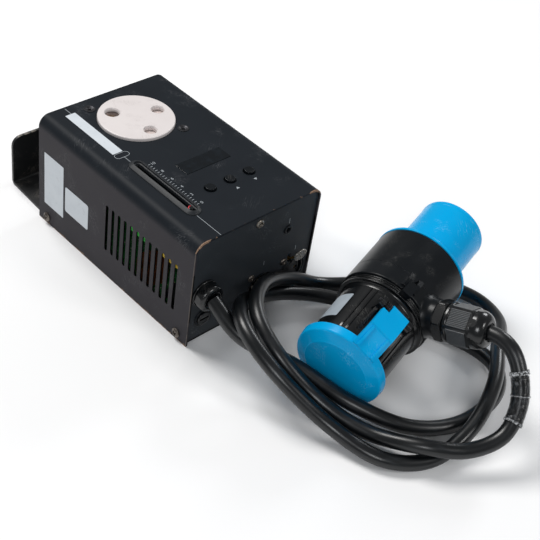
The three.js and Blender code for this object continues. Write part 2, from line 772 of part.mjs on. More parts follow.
// Sunk-head screws in shallow dished rings
outletScrewAt.forEach(([x, y], index) => {
  const top = boxHeight + outletScrew.ring;
  const screw = turned([
    [0, boxHeight - outletScrew.length],
    [outletScrew.shank, boxHeight - outletScrew.length],
    [outletScrew.shank, topInside + screwLift],
    [outletScrew.radius, topInside + screwLift],
    [outletScrew.radius, boxHeight + screwLift],
    [outletScrew.lip, boxHeight + screwLift],
    [outletScrew.lip, top],
    [outletScrew.shank, top - outletScrew.sink],
    [0, top - outletScrew.sink],
  ], roundSides, x, y);
  addPart(`outlet_screw_${index + 1}`, shapeOf(screw), blackSteel);
});

// The fader: a raised rim, a body under the cover and a short lever in the slot
function makeBezel() {
  const top = boxHeight + faderProud;
  const layers = [];
  for (let step = 0; step <= faderCrown.steps; step += 1) {
    const share = step / faderCrown.steps;
    const ends = faderCrown.ends * share;
    layers.push(upwards(stadium(faderX, faderLow + ends, faderHigh - ends,
      faderHalf - faderCrown.wide * share, bendSteps), boxHeight,
    top - faderCrown.high * (1 - share)));
  }
  layers.push(upwards(stadium(faderX, faderLow + faderCutMargin + screwRoom,
    faderHigh - faderCutMargin - screwRoom, faderCutHalf - screwRoom, bendSteps),
  topInside, top));
  return cut(
    join(...layers),
    upwards(stadium(faderX, faderSlotLow, faderSlotHigh, faderSlotHalf, bendSteps),
      topInside - sheet, top + sheet),
    upwards(stadium(faderX, faderGroove.low, faderGroove.high, faderGroove.half, bendSteps),
      top - faderGroove.deep, top + sheet),
  );
}
addPart('fader_bezel', shapeOf(makeBezel()), greyPlastic);
addPart('fader_body', shapeOf(cut(
  block(faderX - faderBody.half, faderX + faderBody.half, faderLow - faderBody.ends,
    faderHigh + faderBody.ends, under(faderBody.depth), topInside),
  block(faderX - faderBody.wellHalf, faderX + faderBody.wellHalf, faderSlotLow, faderSlotHigh,
    under(faderBody.wellDepth), topInside + sheet),
)), nickel);
addPart('fader_lever', shapeOf(join(
  block(faderX - faderLever.foot, faderX + faderLever.foot, faderLever.y - faderLever.foot,
    faderLever.y + faderLever.foot, under(faderLever.depth), under(faderLever.footDepth)),
  post(faderX, faderLever.y, faderLever.radius, under(faderLever.depth),
    boxHeight + faderLever.proud, smallSides),
)), glossBlack);

// The display window and the module behind it
addPart('display_window', shapeOf(block(
  displayMiddleX - displayHalfX + displayPlay, displayMiddleX + displayHalfX - displayPlay,
  displayMiddleY - displayHalfY + displayPlay, displayMiddleY + displayHalfY - displayPlay,
  boxHeight + displayProud - displayThick, boxHeight + displayProud,
)), glass);
addPart('display_module', shapeOf(block(
  displayMiddleX - moduleHalfX, displayMiddleX + moduleHalfX,
  displayMiddleY - moduleHalfY, displayMiddleY + moduleHalfY,
  moduleLow, topInside - displayPlay,
)), blackPlastic);

// Each button is a cap with a flange under the cover and a stem down to its switch
buttonX.forEach((x, index) => {
  const top = boxHeight + buttonCap.proud;
  addPart(`button_${index + 1}`, shapeOf(turned([
    [0, under(buttonStem.depth)],
    [buttonStem.radius, under(buttonStem.depth)],
    [buttonStem.radius, under(buttonFlange.depth)],
    [buttonFlange.radius, under(buttonFlange.depth)],
    [buttonFlange.radius, under(buttonFlange.topDepth)],
    [buttonCap.radius, under(buttonFlange.topDepth)],
    [buttonCap.radius, top - buttonCap.edge],
    [buttonCap.radius - buttonCap.edge, top],
    [0, top],
  ], roundSides, x, buttonY)), blackPlastic);
});

function makeControlBoard() {
  const top = controlLow + controlBoard.thick;
  const items = [block(-controlHalf, controlHalf, controlBoard.front,
    controlBoard.rear, controlLow, top)];
  [-1, 1].forEach((side) => {
    [controlPillar.front, controlPillar.rear].forEach((y) => {
      items.push(block(side * controlPillarX - controlPillar.half,
        side * controlPillarX + controlPillar.half, y - controlPillar.half,
        y + controlPillar.half, controlLow, topInside));
    });
  });
  buttonX.forEach((x) => {
    items.push(block(x - buttonSwitch.half, x + buttonSwitch.half, buttonY - buttonSwitch.half,
      buttonY + buttonSwitch.half, controlLow, under(buttonSwitch.depth)));
  });
  return join(...items);
}
addPart('control_board', shapeOf(makeControlBoard()), greenBoard);

function makePowerBoard() {
  const items = [block(-powerHalf, powerHalf, powerBoard.front, powerBoard.rear,
    powerBoard.low, powerBoard.low + powerBoard.thick)];
  [-1, 1].forEach((side) => {
    [powerPillar.front, powerPillar.rear].forEach((y) => {
      items.push(block(side * powerPillarX - powerPillar.half,
        side * powerPillarX + powerPillar.half, y - powerPillar.half,
        y + powerPillar.half, floorHeight + sheet, powerBoard.low + powerBoard.thick));
    });
  });
  return join(...items);
}
addPart('power_board', shapeOf(makePowerBoard()), greenBoard);
const boardTop = powerBoard.low + powerBoard.thick;

// The heatsink is a comb of upright fins
function makeHeatsink() {
  const { left, right, base, fin, finThick } = heatsink;
  const pitch = (right - left - finThick) / (heatsinkFins - 1);
  const outline = [[left, boardTop], [right, boardTop]];
  for (let i = heatsinkFins - 1; i >= 0; i -= 1) {
    const x = left + i * pitch;
    if (i < heatsinkFins - 1) outline.push([x + finThick, boardTop + base]);
    outline.push([x + finThick, boardTop + base + fin], [x, boardTop + base + fin]);
    if (i > 0) outline.push([x, boardTop + base]);
  }
  return alongY(outline, heatsink.front, heatsink.rear);
}
addPart('heatsink', shapeOf(makeHeatsink()), aluminium);
addPart('power_switch', shapeOf(block(triac.left, triac.right, triac.front,
  triac.front + triac.thick, boardTop, boardTop + triac.tall)), blackPlastic);
addPart('choke', shapeOf(cut(
  post(choke.x, choke.y, choke.radius, boardTop, boardTop + choke.thick),
  post(choke.x, choke.y, choke.hole, boardTop - sheet, boardTop + choke.thick + sheet),
)), copper);
[['yellow_capacitor', yellowCap, yellowCase], ['blue_capacitor', blueCap, blueCase],
  ['terminal_block', terminal, greenCase]].forEach(([name, size, material]) => {
  addPart(name, shapeOf(block(fromLeft(size.from), fromLeft(size.to), size.front, size.rear,
    controlLow - size.tall, controlLow)), material);
});

// The two round three-pin control sockets, clamped behind the panel
function xlrShell(x, wellRadius) {
  const rear = frontInner + xlrBarrel.depth;
  let item = join(
    block(x - xlrFlange.half, x + xlrFlange.half, frontInner, frontInner + xlrFlange.thick,
      xlrHeight - xlrFlange.tall, xlrHeight + xlrFlange.tall),
    rodFront(x, xlrHeight, xlrBarrel.radius, frontOuter + screwRoom, rear, wideSides),
  );
  item = cut(item, rodFront(x, xlrHeight, wellRadius, frontOuter - sheet,
    frontOuter + xlrBarrel.well, wideSides));
  xlrScrewPlaces.forEach(([sx, sz]) => {
    item = cut(item, rodFront(sx, sz, xlrScrew.shank + screwRoom, frontOuter - sheet,
      frontInner + xlrFlange.thick + sheet, coarseSides));
  });
  return item;
}

function threeAround(x, radius, start) {
  return [0, 1, 2].map((i) => {
    const angle = start + (i - 1) * quarterTurn;
    return [x + radius * Math.cos(angle), xlrHeight + radius * Math.sin(angle)];
  });
}

function makeXlrOut() {
  let item = xlrShell(xlrOutX, xlrBarrel.bore);
  item = join(item, rodFront(xlrOutX, xlrHeight, xlrFace.radius, frontOuter + xlrFace.proud,
    frontOuter + xlrBarrel.well + sheet));
  threeAround(xlrOutX, xlrFace.ring, -quarterTurn).forEach(([x, z]) => {
    item = cut(item, rodFront(x, z, xlrFace.hole, frontOuter - sheet,
      frontOuter + xlrFace.depth, xlrFace.sides));
  });
  return cut(item, block(
    latchStem.x - latchHole.half, latchStem.x + latchHole.half,
    frontOuter - sheet, frontInner + xlrFlange.thick + latchStem.into,
    latchStem.z - latchStem.high - latchRoom, xlrHeight + xlrFlange.tall + sheet,
  ));
}
addPart('xlr_out_body', shapeOf(makeXlrOut()), blackPlastic);
addPart('xlr_in_body', shapeOf(xlrShell(xlrInX, xlrPin.disc + screwRoom)), blackPlastic);

function makeXlrPins() {
  const start = frontOuter + xlrBarrel.well - xlrPin.discThick;
  let item = rodFront(xlrInX, xlrHeight, xlrPin.disc, start, start + xlrPin.discThick);
  threeAround(xlrInX, xlrPin.ring, quarterTurn).forEach(([x, z]) => {
    item = join(item, rodFront(x, z, xlrPin.radius, start - xlrPin.length,
      start + xlrPin.discThick / 2, xlrFace.sides));
  });
  return item;
}
addPart('xlr_in_pins', shapeOf(makeXlrPins()), nickel);

const xlrScrewNames = ['xlr_out_screw_upper', 'xlr_out_screw_lower', 'xlr_in_screw_upper',
  'xlr_in_screw_lower'];
xlrScrewPlaces.forEach(([x, z], index) => {
  const screw = addPart(xlrScrewNames[index],
    panScrew(xlrScrew, xlrScrew.shank, xlrScrew.length), nickel);
  screw.position.set(x, frontOuter, z);
  screw.rotation.x = quarterTurn;
});

// The oval release tab of the output socket, on a strip that bends down and in through the panel
function makeLatch() {
  const oval = new THREE.CylinderGeometry(1, 1, latch.thick, roundSides);
  oval.scale(latch.halfX, 1, latch.halfZ);
  oval.rotateX(THREE.MathUtils.degToRad(latch.lean));
  oval.translate(latch.x, frontOuter - latch.proud, latch.z);
  const { high } = latchStem;
  const inner = frontInner + xlrFlange.thick;
  const bend = frontOuter - latchStem.bend;
  const end = bend - (latch.z - latchStem.z);
  const corner = high * Math.tan(quarterTurn / 4);
  const across = high * Math.SQRT1_2;
  const strip = alongX([
    [inner, latchStem.z - high],
    [inner, latchStem.z + high],
    [bend + corner, latchStem.z + high],
    [end + across, latch.z + across],
    [end - across, latch.z - across],
    [bend - corner, latchStem.z - high],
  ], latchStem.x - latchStem.half, latchStem.x + latchStem.half);
  return join(solid(oval), strip);
}
addPart('xlr_latch', shapeOf(makeLatch()), nickel);

addPart('remote_jack', shapeOf(cut(
  join(
    rodFront(jack.x, jack.z, jack.radius, frontOuter - jack.proud, frontInner + sheet, smallSides),
    block(jack.x - jackBody.half, jack.x + jackBody.half, frontInner, frontInner + jackBody.deep,
      jack.z - jackBody.tall, jack.z + jackBody.tall),
  ),
  rodFront(jack.x, jack.z, jack.bore, frontOuter - jack.depth, frontOuter + jack.depth,
    coarseSides),
)), blackPlastic);

// The fuse holder, its slotted cap and the fuse inside
addPart('fuse_holder', shapeOf(cut(
  turnedFront([
    [0, fuse.end],
    [fuse.body, fuse.end],
    [fuse.body, frontOuter],
    [fuse.flange, frontOuter],
    [fuse.flange, frontOuter - fuse.lip],
    [0, frontOuter - fuse.lip],
  ], roundSides, fuse.x, fuse.z),
  rodFront(fuse.x, fuse.z, fuseCap.bore, frontOuter - sheet, frontOuter + fuseCap.deep + sheet),
  rodFront(fuse.x, fuse.z, fuseGlass.radius + screwRoom, frontOuter, fuseGlass.rear + screwRoom,
    smallSides),
)), blackPlastic);
addPart('fuse_cap', shapeOf(cut(
  turnedFront([
    [0, frontOuter + fuseCap.deep],
    [fuseCap.radius, frontOuter + fuseCap.deep],
    [fuseCap.radius, frontOuter - fuseCap.proud + fuseCap.edge],
    [fuseCap.radius - fuseCap.edge, frontOuter - fuseCap.proud],
    [0, frontOuter - fuseCap.proud],
  ], roundSides, fuse.x, fuse.z),
  block(fuse.x - fuseCap.radius, fuse.x + fuseCap.radius, frontOuter - fuseCap.proud - sheet,
    frontOuter - fuseCap.proud + fuseCap.slotDeep, fuse.z - fuseCap.slotHalf,
    fuse.z + fuseCap.slotHalf),
)), blackPlastic);
addPart('fuse', shapeOf(rodFront(fuse.x, fuse.z, fuseGlass.radius, fuseGlass.front,
  fuseGlass.rear, smallSides)), whitePlastic);

// The cord gland on the front panel
addPart('cord_gland_body', shapeOf(turnedFront([
  [0, gland.end],
  [gland.thread, gland.end],
  [gland.thread, frontOuter],
  [gland.base, frontOuter],
  [gland.base, frontOuter - gland.baseThick],
  [0, frontOuter - gland.baseThick],
], roundSides, gland.x, gland.z)), glossBlack);
addPart('cord_gland_nut', shapeOf(cut(turnedFront([
  [0, glandNut.start],
  [glandNut.radius, glandNut.start],
  [glandNut.radius, glandNut.shoulder],
  [glandNut.bulge, glandNut.bulgeAt],
  [glandNut.nose, glandNut.end],
  [0, glandNut.end],
], roundSides, gland.x, gland.z), rodFront(gland.x, gland.z, noseBore.radius,
  glandNut.end - sheet, glandNut.end + noseBore.depth))), glossBlack);
const lockRing = solid(prism(hexagon(glandLock.across), glandLock.rear - glandLock.front)
  .rotateX(quarterTurn).translate(gland.x, glandLock.rear, gland.z));
addPart('cord_gland_locknut', shapeOf(cut(lockRing, rodFront(gland.x, gland.z, glandLock.bore,
  glandLock.front - sheet, glandLock.rear + sheet))), glossBlack);

// The cord
const cordCurve = new THREE.CatmullRomCurve3(
  cordPoints.map((point) => new THREE.Vector3(...point)),
);
cordCurve.arcLengthDivisions = cordPoints.length * cordSteps;

// A stretch of the cord's own line, between two of its steps
class Stretch extends THREE.Curve {
  constructor(first, last) {
    super();
    this.first = first / cordSteps;
    this.last = last / cordSteps;
  }

  getPoint(share, target) {
    return cordCurve.getPointAt(this.first + (this.last - this.first) * share, target);
  }

  getPointAt(share, target) {
    return this.getPoint(share, target);
  }
}

function roundOutline(radius, sides) {
  return arc(0, 0, radius, 0, fullTurn * (sides - 1) / sides, sides - 1)
    .map(([x, y]) => new THREE.Vector2(x, y));
}

const cordShape = new THREE.Shape(roundOutline(cordRadius, cordSides));
addPart('power_cord', shapeOf(solid(new THREE.ExtrudeGeometry(cordShape, {
  steps: cordSteps,
  extrudePath: cordCurve,
  bevelEnabled: false,
}))), rubber);
const sleeveShape = new THREE.Shape(roundOutline(sleeve.outer, sleeve.sides));
sleeveShape.holes.push(new THREE.Path(roundOutline(sleeve.inner, sleeve.sides).reverse()));
addPart('cord_sleeve', shapeOf(solid(new THREE.ExtrudeGeometry(sleeveShape, {
  steps: sleeve.lastStep - sleeve.firstStep,
  extrudePath: new Stretch(sleeve.firstStep, sleeve.lastStep),
  bevelEnabled: false,
}))), clearSleeve);

// Turns a solid about the tap's long axis by an angle in degrees, from -Y towards +Z
const aboutTap = (item, degrees) => item.rotate([-degrees, 0, 0]);
// A block in the tap, with its height measured outwards from the axis along -Y
const tapBlock = (s0, s1, low, high, side0, side1) => block(s0, s1, -high, -low, side0, side1);

function makeTapBody() {
  let item = turnedTap([
    [body.inner, body.rear],
    [body.radius - body.edge, body.rear],
    [body.radius, body.rear + body.edge],
    [body.radius, 0],
    [body.inner, 0],
    [body.inner, body.rear],
  ], wideSides);
  item = join(item, turnedEntry([
    [0, boss.root],
    [boss.radius, boss.root],
    [boss.radius, boss.end],
    [0, boss.end],
  ], roundSides));
  item = cut(item, rodTap(boss.clear, body.rear - boss.radius, body.rear, wideSides));
  const jaws = [-1, 1].map((side) => {
    const edges = [side * notch.gap, side * (notch.gap + notch.wide)].sort((a, b) => a - b);
    return aboutTap(tapBlock(notch.s - notch.half, notch.s + notch.half, notch.low, notch.high,
      ...edges), notch.turn);
  });
  return join(item, ...jaws);
}
addPart('tap_body', shapeOf(makeTapBody()), blackPlastic, tap);

const aroundTap = (radius, turn) => [-radius * Math.cos(turn), radius * Math.sin(turn)];
const pinPlaces = [
  ['earth', aroundTap(1, halfTurn)],
  ['live', aroundTap(1, halfTurn - socketPinTurn)],
  ['neutral', aroundTap(1, halfTurn + socketPinTurn)],
];

// The outlet end of the tap: collar, barrel, the socket core inside it and the hinge ears
function makeTapOutlet() {
  const { radius, groove, ring, front, rear } = collar;
  const shell = turnedTap([
    [0, socket.floor],
    [barrel.inner, socket.floor],
    [barrel.inner, barrel.end],
    [barrel.chamfer, barrel.end],
    [barrel.tip, barrel.taper],
    [barrel.radius, rear],
    [radius, rear],
    [radius, rear + ring],
    [groove, rear + ring],
    [groove, front - ring],
    [radius, front - ring],
    [radius, front],
    [collar.spigot, front],
    [collar.spigot, spigotEnd],
    [0, spigotEnd],
  ], wideSides);
  let item = join(shell, rodTap(socket.core, socket.face, socket.floor + sheet));
  pinPlaces.forEach(([name, [y, z]]) => {
    const hole = name === 'earth' ? socket.earthPin : socket.powerPin;
    item = cut(item, rodTap(hole, socket.face - sheet, socket.face + socketBore, smallSides,
      y * socket.pinRing, z * socket.pinRing));
  });
  [-1, 1].forEach((side) => {
    const inner = arm.half + ear.gap;
    const edges = [side * inner, side * (inner + ear.thick)].sort((a, b) => a - b);
    const lug = aboutTap(tapBlock(ear.front, ear.rear, ear.root, ear.high, ...edges), hinge.turn);
    item = join(item, cut(lug, rodTap(ear.root, ear.front - sheet, ear.rear + sheet)));
  });
  return cut(item, hingeRod(hinge.bore, hinge.reach + sheet));
}

// A rod along the hinge's axis, across the tap
function hingeRod(radius, reach, from = -reach) {
  const geometry = new THREE.CylinderGeometry(radius, radius, reach - from, smallSides);
  geometry.rotateX(quarterTurn);
  geometry.translate(hinge.s, -hinge.height, (reach + from) / 2);
  return aboutTap(solid(geometry), hinge.turn);
}
addPart('tap_outlet', shapeOf(makeTapOutlet()), glossBlack, tap);

// The blue plug shroud with its flange against the body
addPart('plug_shroud', shapeOf(turnedTap([
  [0, tapGap],
  [shroud.flange, tapGap],
  [shroud.flange, shroud.flangeEnd],
  [shroud.radius, shroud.flangeEnd],
  [shroud.radius, shroud.end],
  [shroud.inner, shroud.end],
  [shroud.inner, shroud.floor],
  [0, shroud.floor],
], wideSides).subtract(pinWells())), bluePlastic, tap);

function pinWells() {
  const wells = pinPlaces.map(([name, [y, z]]) => {
    const radius = name === 'earth' ? plugPin.earth : plugPin.power;
    return rodTap(radius + tapGap, plugPin.root - tapGap, shroud.floor + sheet, smallSides,
      y * plugPin.ring, z * plugPin.ring);
  });
  return join(...wells);
}
pinPlaces.forEach(([name, [y, z]]) => {
  const radius = name === 'earth' ? plugPin.earth : plugPin.power;
  const end = name === 'earth' ? plugPin.earthEnd : plugPin.end;
  addPart(`plug_pin_${name}`, shapeOf(turnedTap([
    [0, plugPin.root],
    [radius, plugPin.root],
    [radius, end - plugPin.tip],
    [radius - plugPin.tip, end],
    [0, end],
  ], smallSides, y * plugPin.ring, z * plugPin.ring)), nickel, tap);
});

// The blue spring flap: a shallow lid on a flat arm
function makeFlap() {
  const disc = turnedTap([
    [0, lid.face],
    [lid.flat, lid.face],
    [lid.rimFront, lid.shoulder],
    [lid.rim, lid.rear],
    [lidInner.radius, lid.rear],
    [lidInner.radius, lidInner.face],
    [0, lidInner.face],
  ], wideSides);
  const high = hinge.height + hinge.knuckle;
  const armSide = [
    [hinge.s, -high],
    [hinge.s, -high + arm.thick],
    [arm.bend, -high + arm.thick],
    [arm.drop, -arm.foot],
    [lid.shoulder, -arm.foot],
    [lid.shoulder, -lid.rimFront],
    [arm.drop, -arm.foot - arm.footThick],
    [arm.bend, -high],
  ];
  const bar = prism(armSide, arm.half * 2);
  bar.translate(0, 0, -arm.half);
  let item = aboutTap(solid(bar), hinge.turn);
  item = join(item, hingeRod(hinge.knuckle, arm.half));
  const rib = prism([
    [arm.bend, -high],
    [arm.drop, -arm.foot - arm.footThick - armRib.high],
    [arm.drop, -arm.foot - arm.footThick / 2],
    [arm.bend, -high + armRib.high],
  ], armRib.half * 2);
  rib.translate(0, 0, -armRib.half);
  [-1, 1].forEach((side) => {
    const one = rib.clone().translate(0, 0, side * armRib.out);
    item = join(item, aboutTap(solid(one), hinge.turn));
  });
  item = cut(item, aboutTap(tapBlock(armNotch.rear, hinge.s + hinge.knuckle + sheet,
    ear.root, high + sheet, armNotch.inner, arm.half + sheet), hinge.turn));
  item = cut(item, rodTap(lidInner.radius, lidInner.face, arm.bend, wideSides));
  return cut(join(item, disc), hingeRod(hinge.bore, hinge.reach));
}
addPart('tap_flap', shapeOf(makeFlap()), bluePlastic, tap);
addPart('flap_hinge_pin', shapeOf(hingeRod(hinge.pin, hinge.reach)), brass, tap);

// The flap's wire spring: curls round the hinge pin with two straight legs
class SpringLine extends THREE.Curve {
  constructor() {
    super();
    this.turnLength = fullTurn * spring.coil * spring.curls;
    this.whole = this.turnLength + spring.leg * 2;
  }

  getPoint(share, target = new THREE.Vector3()) {
    const along = share * this.whole - spring.leg;
    const held = THREE.MathUtils.clamp(along, 0, this.turnLength);
    const turn = held / spring.coil;
    const over = along - held;
    const rise = spring.first + spring.pitch * turn / fullTurn;
    const x = hinge.s + spring.coil * Math.sin(turn) + over * Math.cos(turn);
    const y = -hinge.height - spring.coil * Math.cos(turn) + over * Math.sin(turn);
    return target.set(x, y, rise);
  }
}
const springSteps = Math.round(springCurlSteps * (spring.curls
  + spring.leg * 2 / (fullTurn * spring.coil)));
const springLine = new SpringLine();
const wire = new THREE.ExtrudeGeometry(new THREE.Shape(roundOutline(spring.wire, springSides)), {
  steps: springSteps,
  extrudePath: springLine,
  bevelEnabled: false,
});
addPart('flap_spring', shapeOf(aboutTap(solid(wire), hinge.turn)), nickel, tap);

// The least clear gap between two curls, from points along the wire's middle
const wirePoints = springLine.getSpacedPoints(springSteps);
const strandsApart = wirePoints.flatMap((point, index) => wirePoints
  .slice(index + springCurlSteps / 2)
  .map((other) => point.distanceTo(other)));
const leastCurlGap = Math.min(...strandsApart) - spring.wire * 2;
console.log(`Least gap between the spring's curls: ${leastCurlGap.toFixed(2)} mm`);

// The cord gland of the tap
const entryHex = (across, from, to) => {
  const geometry = prism(hexagon(across), to - from);
  geometry.rotateX(quarterTurn);
  geometry.translate(boss.s, -from, 0);
  return solid(geometry);
};
addPart('tap_gland_locknut', shapeOf(cut(
  entryHex(tapLock.across, tapLock.start, tapLock.end),
  turnedEntry([
    [0, tapLock.start - sheet],
    [tapNut.thread + tapGap, tapLock.start - sheet],
    [tapNut.thread + tapGap, tapLock.end + sheet],
    [0, tapLock.end + sheet],
  ], roundSides),
)), glossBlack, tap);
const nutRound = turnedEntry([
  [0, tapLock.start],
  [tapNut.thread, tapLock.start],
  [tapNut.thread, tapNut.start],
  [tapNut.radius, tapNut.start],
  [tapNut.radius, tapNut.shoulder],
  [tapNose.radius, tapNut.shoulder + (tapNose.end - tapNut.shoulder) / 2],
  [tapNose.tip, tapNose.end],
  [0, tapNose.end],
], roundSides);
const nutBore = turnedEntry([
  [0, tapNose.end - noseBore.depth],
  [noseBore.radius, tapNose.end - noseBore.depth],
  [noseBore.radius, tapNose.end + sheet],
  [0, tapNose.end + sheet],
], roundSides);
addPart('tap_gland_nut', shapeOf(cut(nutRound.intersect(
  entryHex(tapNut.flats, tapLock.start - sheet, tapNose.end + sheet),
), nutBore)), glossBlack, tap);

export default dimmer;
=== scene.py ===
"""A lighting dimmer pack with its cord and through-tap connector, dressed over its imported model."""

import math

import bmesh
import bpy
from bpy.props import FloatProperty, FloatVectorProperty, IntProperty, PointerProperty
from mathutils import Matrix, Vector


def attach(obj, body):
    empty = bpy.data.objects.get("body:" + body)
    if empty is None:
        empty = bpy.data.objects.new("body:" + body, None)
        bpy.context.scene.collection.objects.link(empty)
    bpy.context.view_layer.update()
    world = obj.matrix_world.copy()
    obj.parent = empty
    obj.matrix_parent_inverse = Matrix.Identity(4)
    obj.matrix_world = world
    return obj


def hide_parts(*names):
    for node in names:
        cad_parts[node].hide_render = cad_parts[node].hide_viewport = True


bl_info = {
    "name": "Dimmer Pack",
    "version": (1, 0, 0),
    "blender": (4, 5, 0),
    "location": "3D View > Sidebar > Dimmer Pack",
    "description": "Builds a dimmer pack with its outlet, fader, sockets, cord and through-tap",
    "category": "Object",
}

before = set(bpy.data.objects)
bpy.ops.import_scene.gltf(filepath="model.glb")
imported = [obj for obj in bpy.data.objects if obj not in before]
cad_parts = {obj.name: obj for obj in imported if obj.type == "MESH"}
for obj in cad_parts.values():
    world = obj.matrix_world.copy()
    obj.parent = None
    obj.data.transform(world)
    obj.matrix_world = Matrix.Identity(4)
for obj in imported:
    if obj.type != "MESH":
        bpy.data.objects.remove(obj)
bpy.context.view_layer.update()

# Places and sizes, in millimetres unless a name says otherwise

MM = 0.001
# Points closer than this, in metres, are made one
WELD = 2e-6
HALF_WIDTH = 53.5
HALF_LENGTH = 81.25
TOP = 84.0
SHEET = 1.5
PANEL = -80.25
OUTLET = (-0.5, 44.5)
OUTLET_TURN = math.radians(40.5)
EARTH_HOLE = (0, 16.6)
POWER_HOLES = ((12.7, -12), (-12.7, -12))
EARS_TURN = math.radians(127.2)
EARS_OUT = 32.5
FADER_X = -32.85
FADER_REST = -51.6
SLOT_PITCH = 6.375
CHASSIS_HALF = 51.9
BUTTONS_X = (-8.9, 7.7, 24.3)
BUTTONS_Y = -42.1
SOCKET_OUT_X = 38.0
SOCKET_IN_X = 9.0
SOCKETS_Z = 19.3
JACK = (27.5, 59.5)
FUSE = (-40.6, 18.9)
GLAND = (-42, 40.5)
LATCH_SLOT = (32.4, 34.8)
# The print's lowest and highest height over its face
INK = (-0.02, 0.03)
BOSS_S = -38.0
HINGE_S = -64.5
HINGE_HIGH = 32.0
HINGE_TURN = 41.5
CATCH_TURN = 47.0
PIN_PLACES = {"earth": (11.0, 0.0), "live": (-5.5, 9.526), "neutral": (-5.5, -9.526)}

# The sleeve's ends, as shares of the cord's length
SLEEVE = (76 / 80, 78 / 80)

# The cord's line, from the box's gland to the through-tap's, in metres
CORD_POINTS = [
    (-0.042, -0.089, 0.0403), (-0.041, -0.115, 0.03), (-0.0235, -0.1475, 0.0205),
    (-0.012, -0.189, 0.0145), (0.009, -0.2195, 0.0075), (0.039, -0.235, 0.0055),
    (0.0705, -0.2355, 0.0095), (0.091, -0.221, 0.009), (0.097, -0.194, 0.0055),
    (0.056, -0.1135, 0.0075), (0.026, -0.092, 0.0135), (-0.0075, -0.089, 0.024),
    (-0.034, -0.1055, 0.041), (-0.045, -0.1225, 0.043), (-0.047, -0.149, 0.0345),
    (-0.034, -0.1915, 0.012), (-0.0225, -0.2255, 0.006), (0.0005, -0.243, 0.0055),
    (0.0325, -0.2455, 0.013), (0.0685, -0.2335, 0.0195), (0.1005, -0.212, 0.018),
    (0.127, -0.193, 0.011), (0.1365, -0.167, 0.0065), (0.125, -0.138, 0.0055),
    (0.091, -0.115, 0.006), (0.0555, -0.0935, 0.0075), (0.0295, -0.0865, 0.0215),
    (-0.0055, -0.095, 0.038), (-0.028, -0.1145, 0.0425), (-0.0355, -0.139, 0.0355),
    (-0.0275, -0.173, 0.0155), (-0.018, -0.2065, 0.01), (-0.0035, -0.2395, 0.017),
    (0.016, -0.2565, 0.016), (0.036, -0.265, 0.023), (0.051, -0.261, 0.036),
    (0.0585, -0.251, 0.0505), (0.0613, -0.241, 0.0593), (0.0618, -0.2315, 0.0617),
    (0.0609, -0.2214, 0.0604),
]


def axes(x, y, z, origin=(0, 0, 0)):
    """A frame from its three directions and its origin in millimetres, giving metres."""
    rows = Matrix((x, y, z)).transposed().to_4x4()
    return Matrix.Translation(Vector(origin) * MM) @ rows @ Matrix.Scale(MM, 4)


# Frames: flat on the box, through it from the back, and outwards from its front and sides
FLAT = axes((1, 0, 0), (0, 1, 0), (0, 0, 1))
THROUGH = axes((1, 0, 0), (0, 0, 1), (0, -1, 0))
FRONT = axes((1, 0, 0), (0, 0, 1), (0, -1, 0), (0, PANEL, 0))
LEFT = axes((0, -1, 0), (0, 0, 1), (-1, 0, 0), (-HALF_WIDTH, 0, 0))
RIGHT = axes((0, 1, 0), (0, 0, 1), (1, 0, 0), (HALF_WIDTH, 0, 0))

# The through-tap's own frame, and frames whose Z runs along its axis and out along its cord
TAP = (
    Matrix.Translation(Vector((85.4, -147.4, 44.5)) * MM)
    @ Matrix.Rotation(math.radians(13.15), 4, "Z")
    @ Matrix.Rotation(math.radians(-8.4), 4, "Y")
    @ Matrix.Rotation(math.radians(-18), 4, "X")
)

TAP_AXIS = TAP @ axes((0, 1, 0), (0, 0, 1), (1, 0, 0))
TAP_ENTRY = TAP @ axes((1, 0, 0), (0, 0, 1), (0, -1, 0), (BOSS_S, 0, 0))


def around_tap(degrees):
    """A tap frame turned about its long axis, with X along it, Y outwards and Z across."""
    turn = Matrix.Rotation(math.radians(-degrees), 4, "X")
    return TAP @ turn @ axes((1, 0, 0), (0, -1, 0), (0, 0, -1))


HINGE = around_tap(HINGE_TURN)
HINGE_LINE = HINGE @ Matrix.Translation((HINGE_S, HINGE_HIGH, 0))


def outlet_point(across, out):
    c, s = math.cos(OUTLET_TURN), math.sin(OUTLET_TURN)
    return (OUTLET[0] + across * c - out * s, OUTLET[1] + across * s + out * c)


OUTLET_EARS = [
    (OUTLET[0] + side * EARS_OUT * math.cos(EARS_TURN),
     OUTLET[1] + side * EARS_OUT * math.sin(EARS_TURN))
    for side in (1, -1)
]


# Outlines


def arc(cx, cy, radius, start, end, steps):
    """Points along an arc; the angles are in degrees."""
    turns = [math.radians(start + (end - start) * i / steps) for i in range(steps + 1)]
    return [(cx + radius * math.cos(t), cy + radius * math.sin(t)) for t in turns]


def stadium(x, low, high, half, steps=14):
    return arc(x, high - half, half, 0, 180, steps) + arc(x, low + half, half, 180, 360, steps)


def rounded_box(x0, x1, y0, y1, radius, steps=6):
    r = radius
    return (
        arc(x1 - r, y1 - r, r, 0, 90, steps) + arc(x0 + r, y1 - r, r, 90, 180, steps)
        + arc(x0 + r, y0 + r, r, 180, 270, steps) + arc(x1 - r, y0 + r, r, 270, 360, steps)
    )


def polygon(sides, across, turn=0.0):
    """A regular outline by half its width across flats."""
    corner = across / math.cos(math.pi / sides)
    return arc(0, 0, corner, turn, turn + 360 * (sides - 1) / sides, sides - 1)


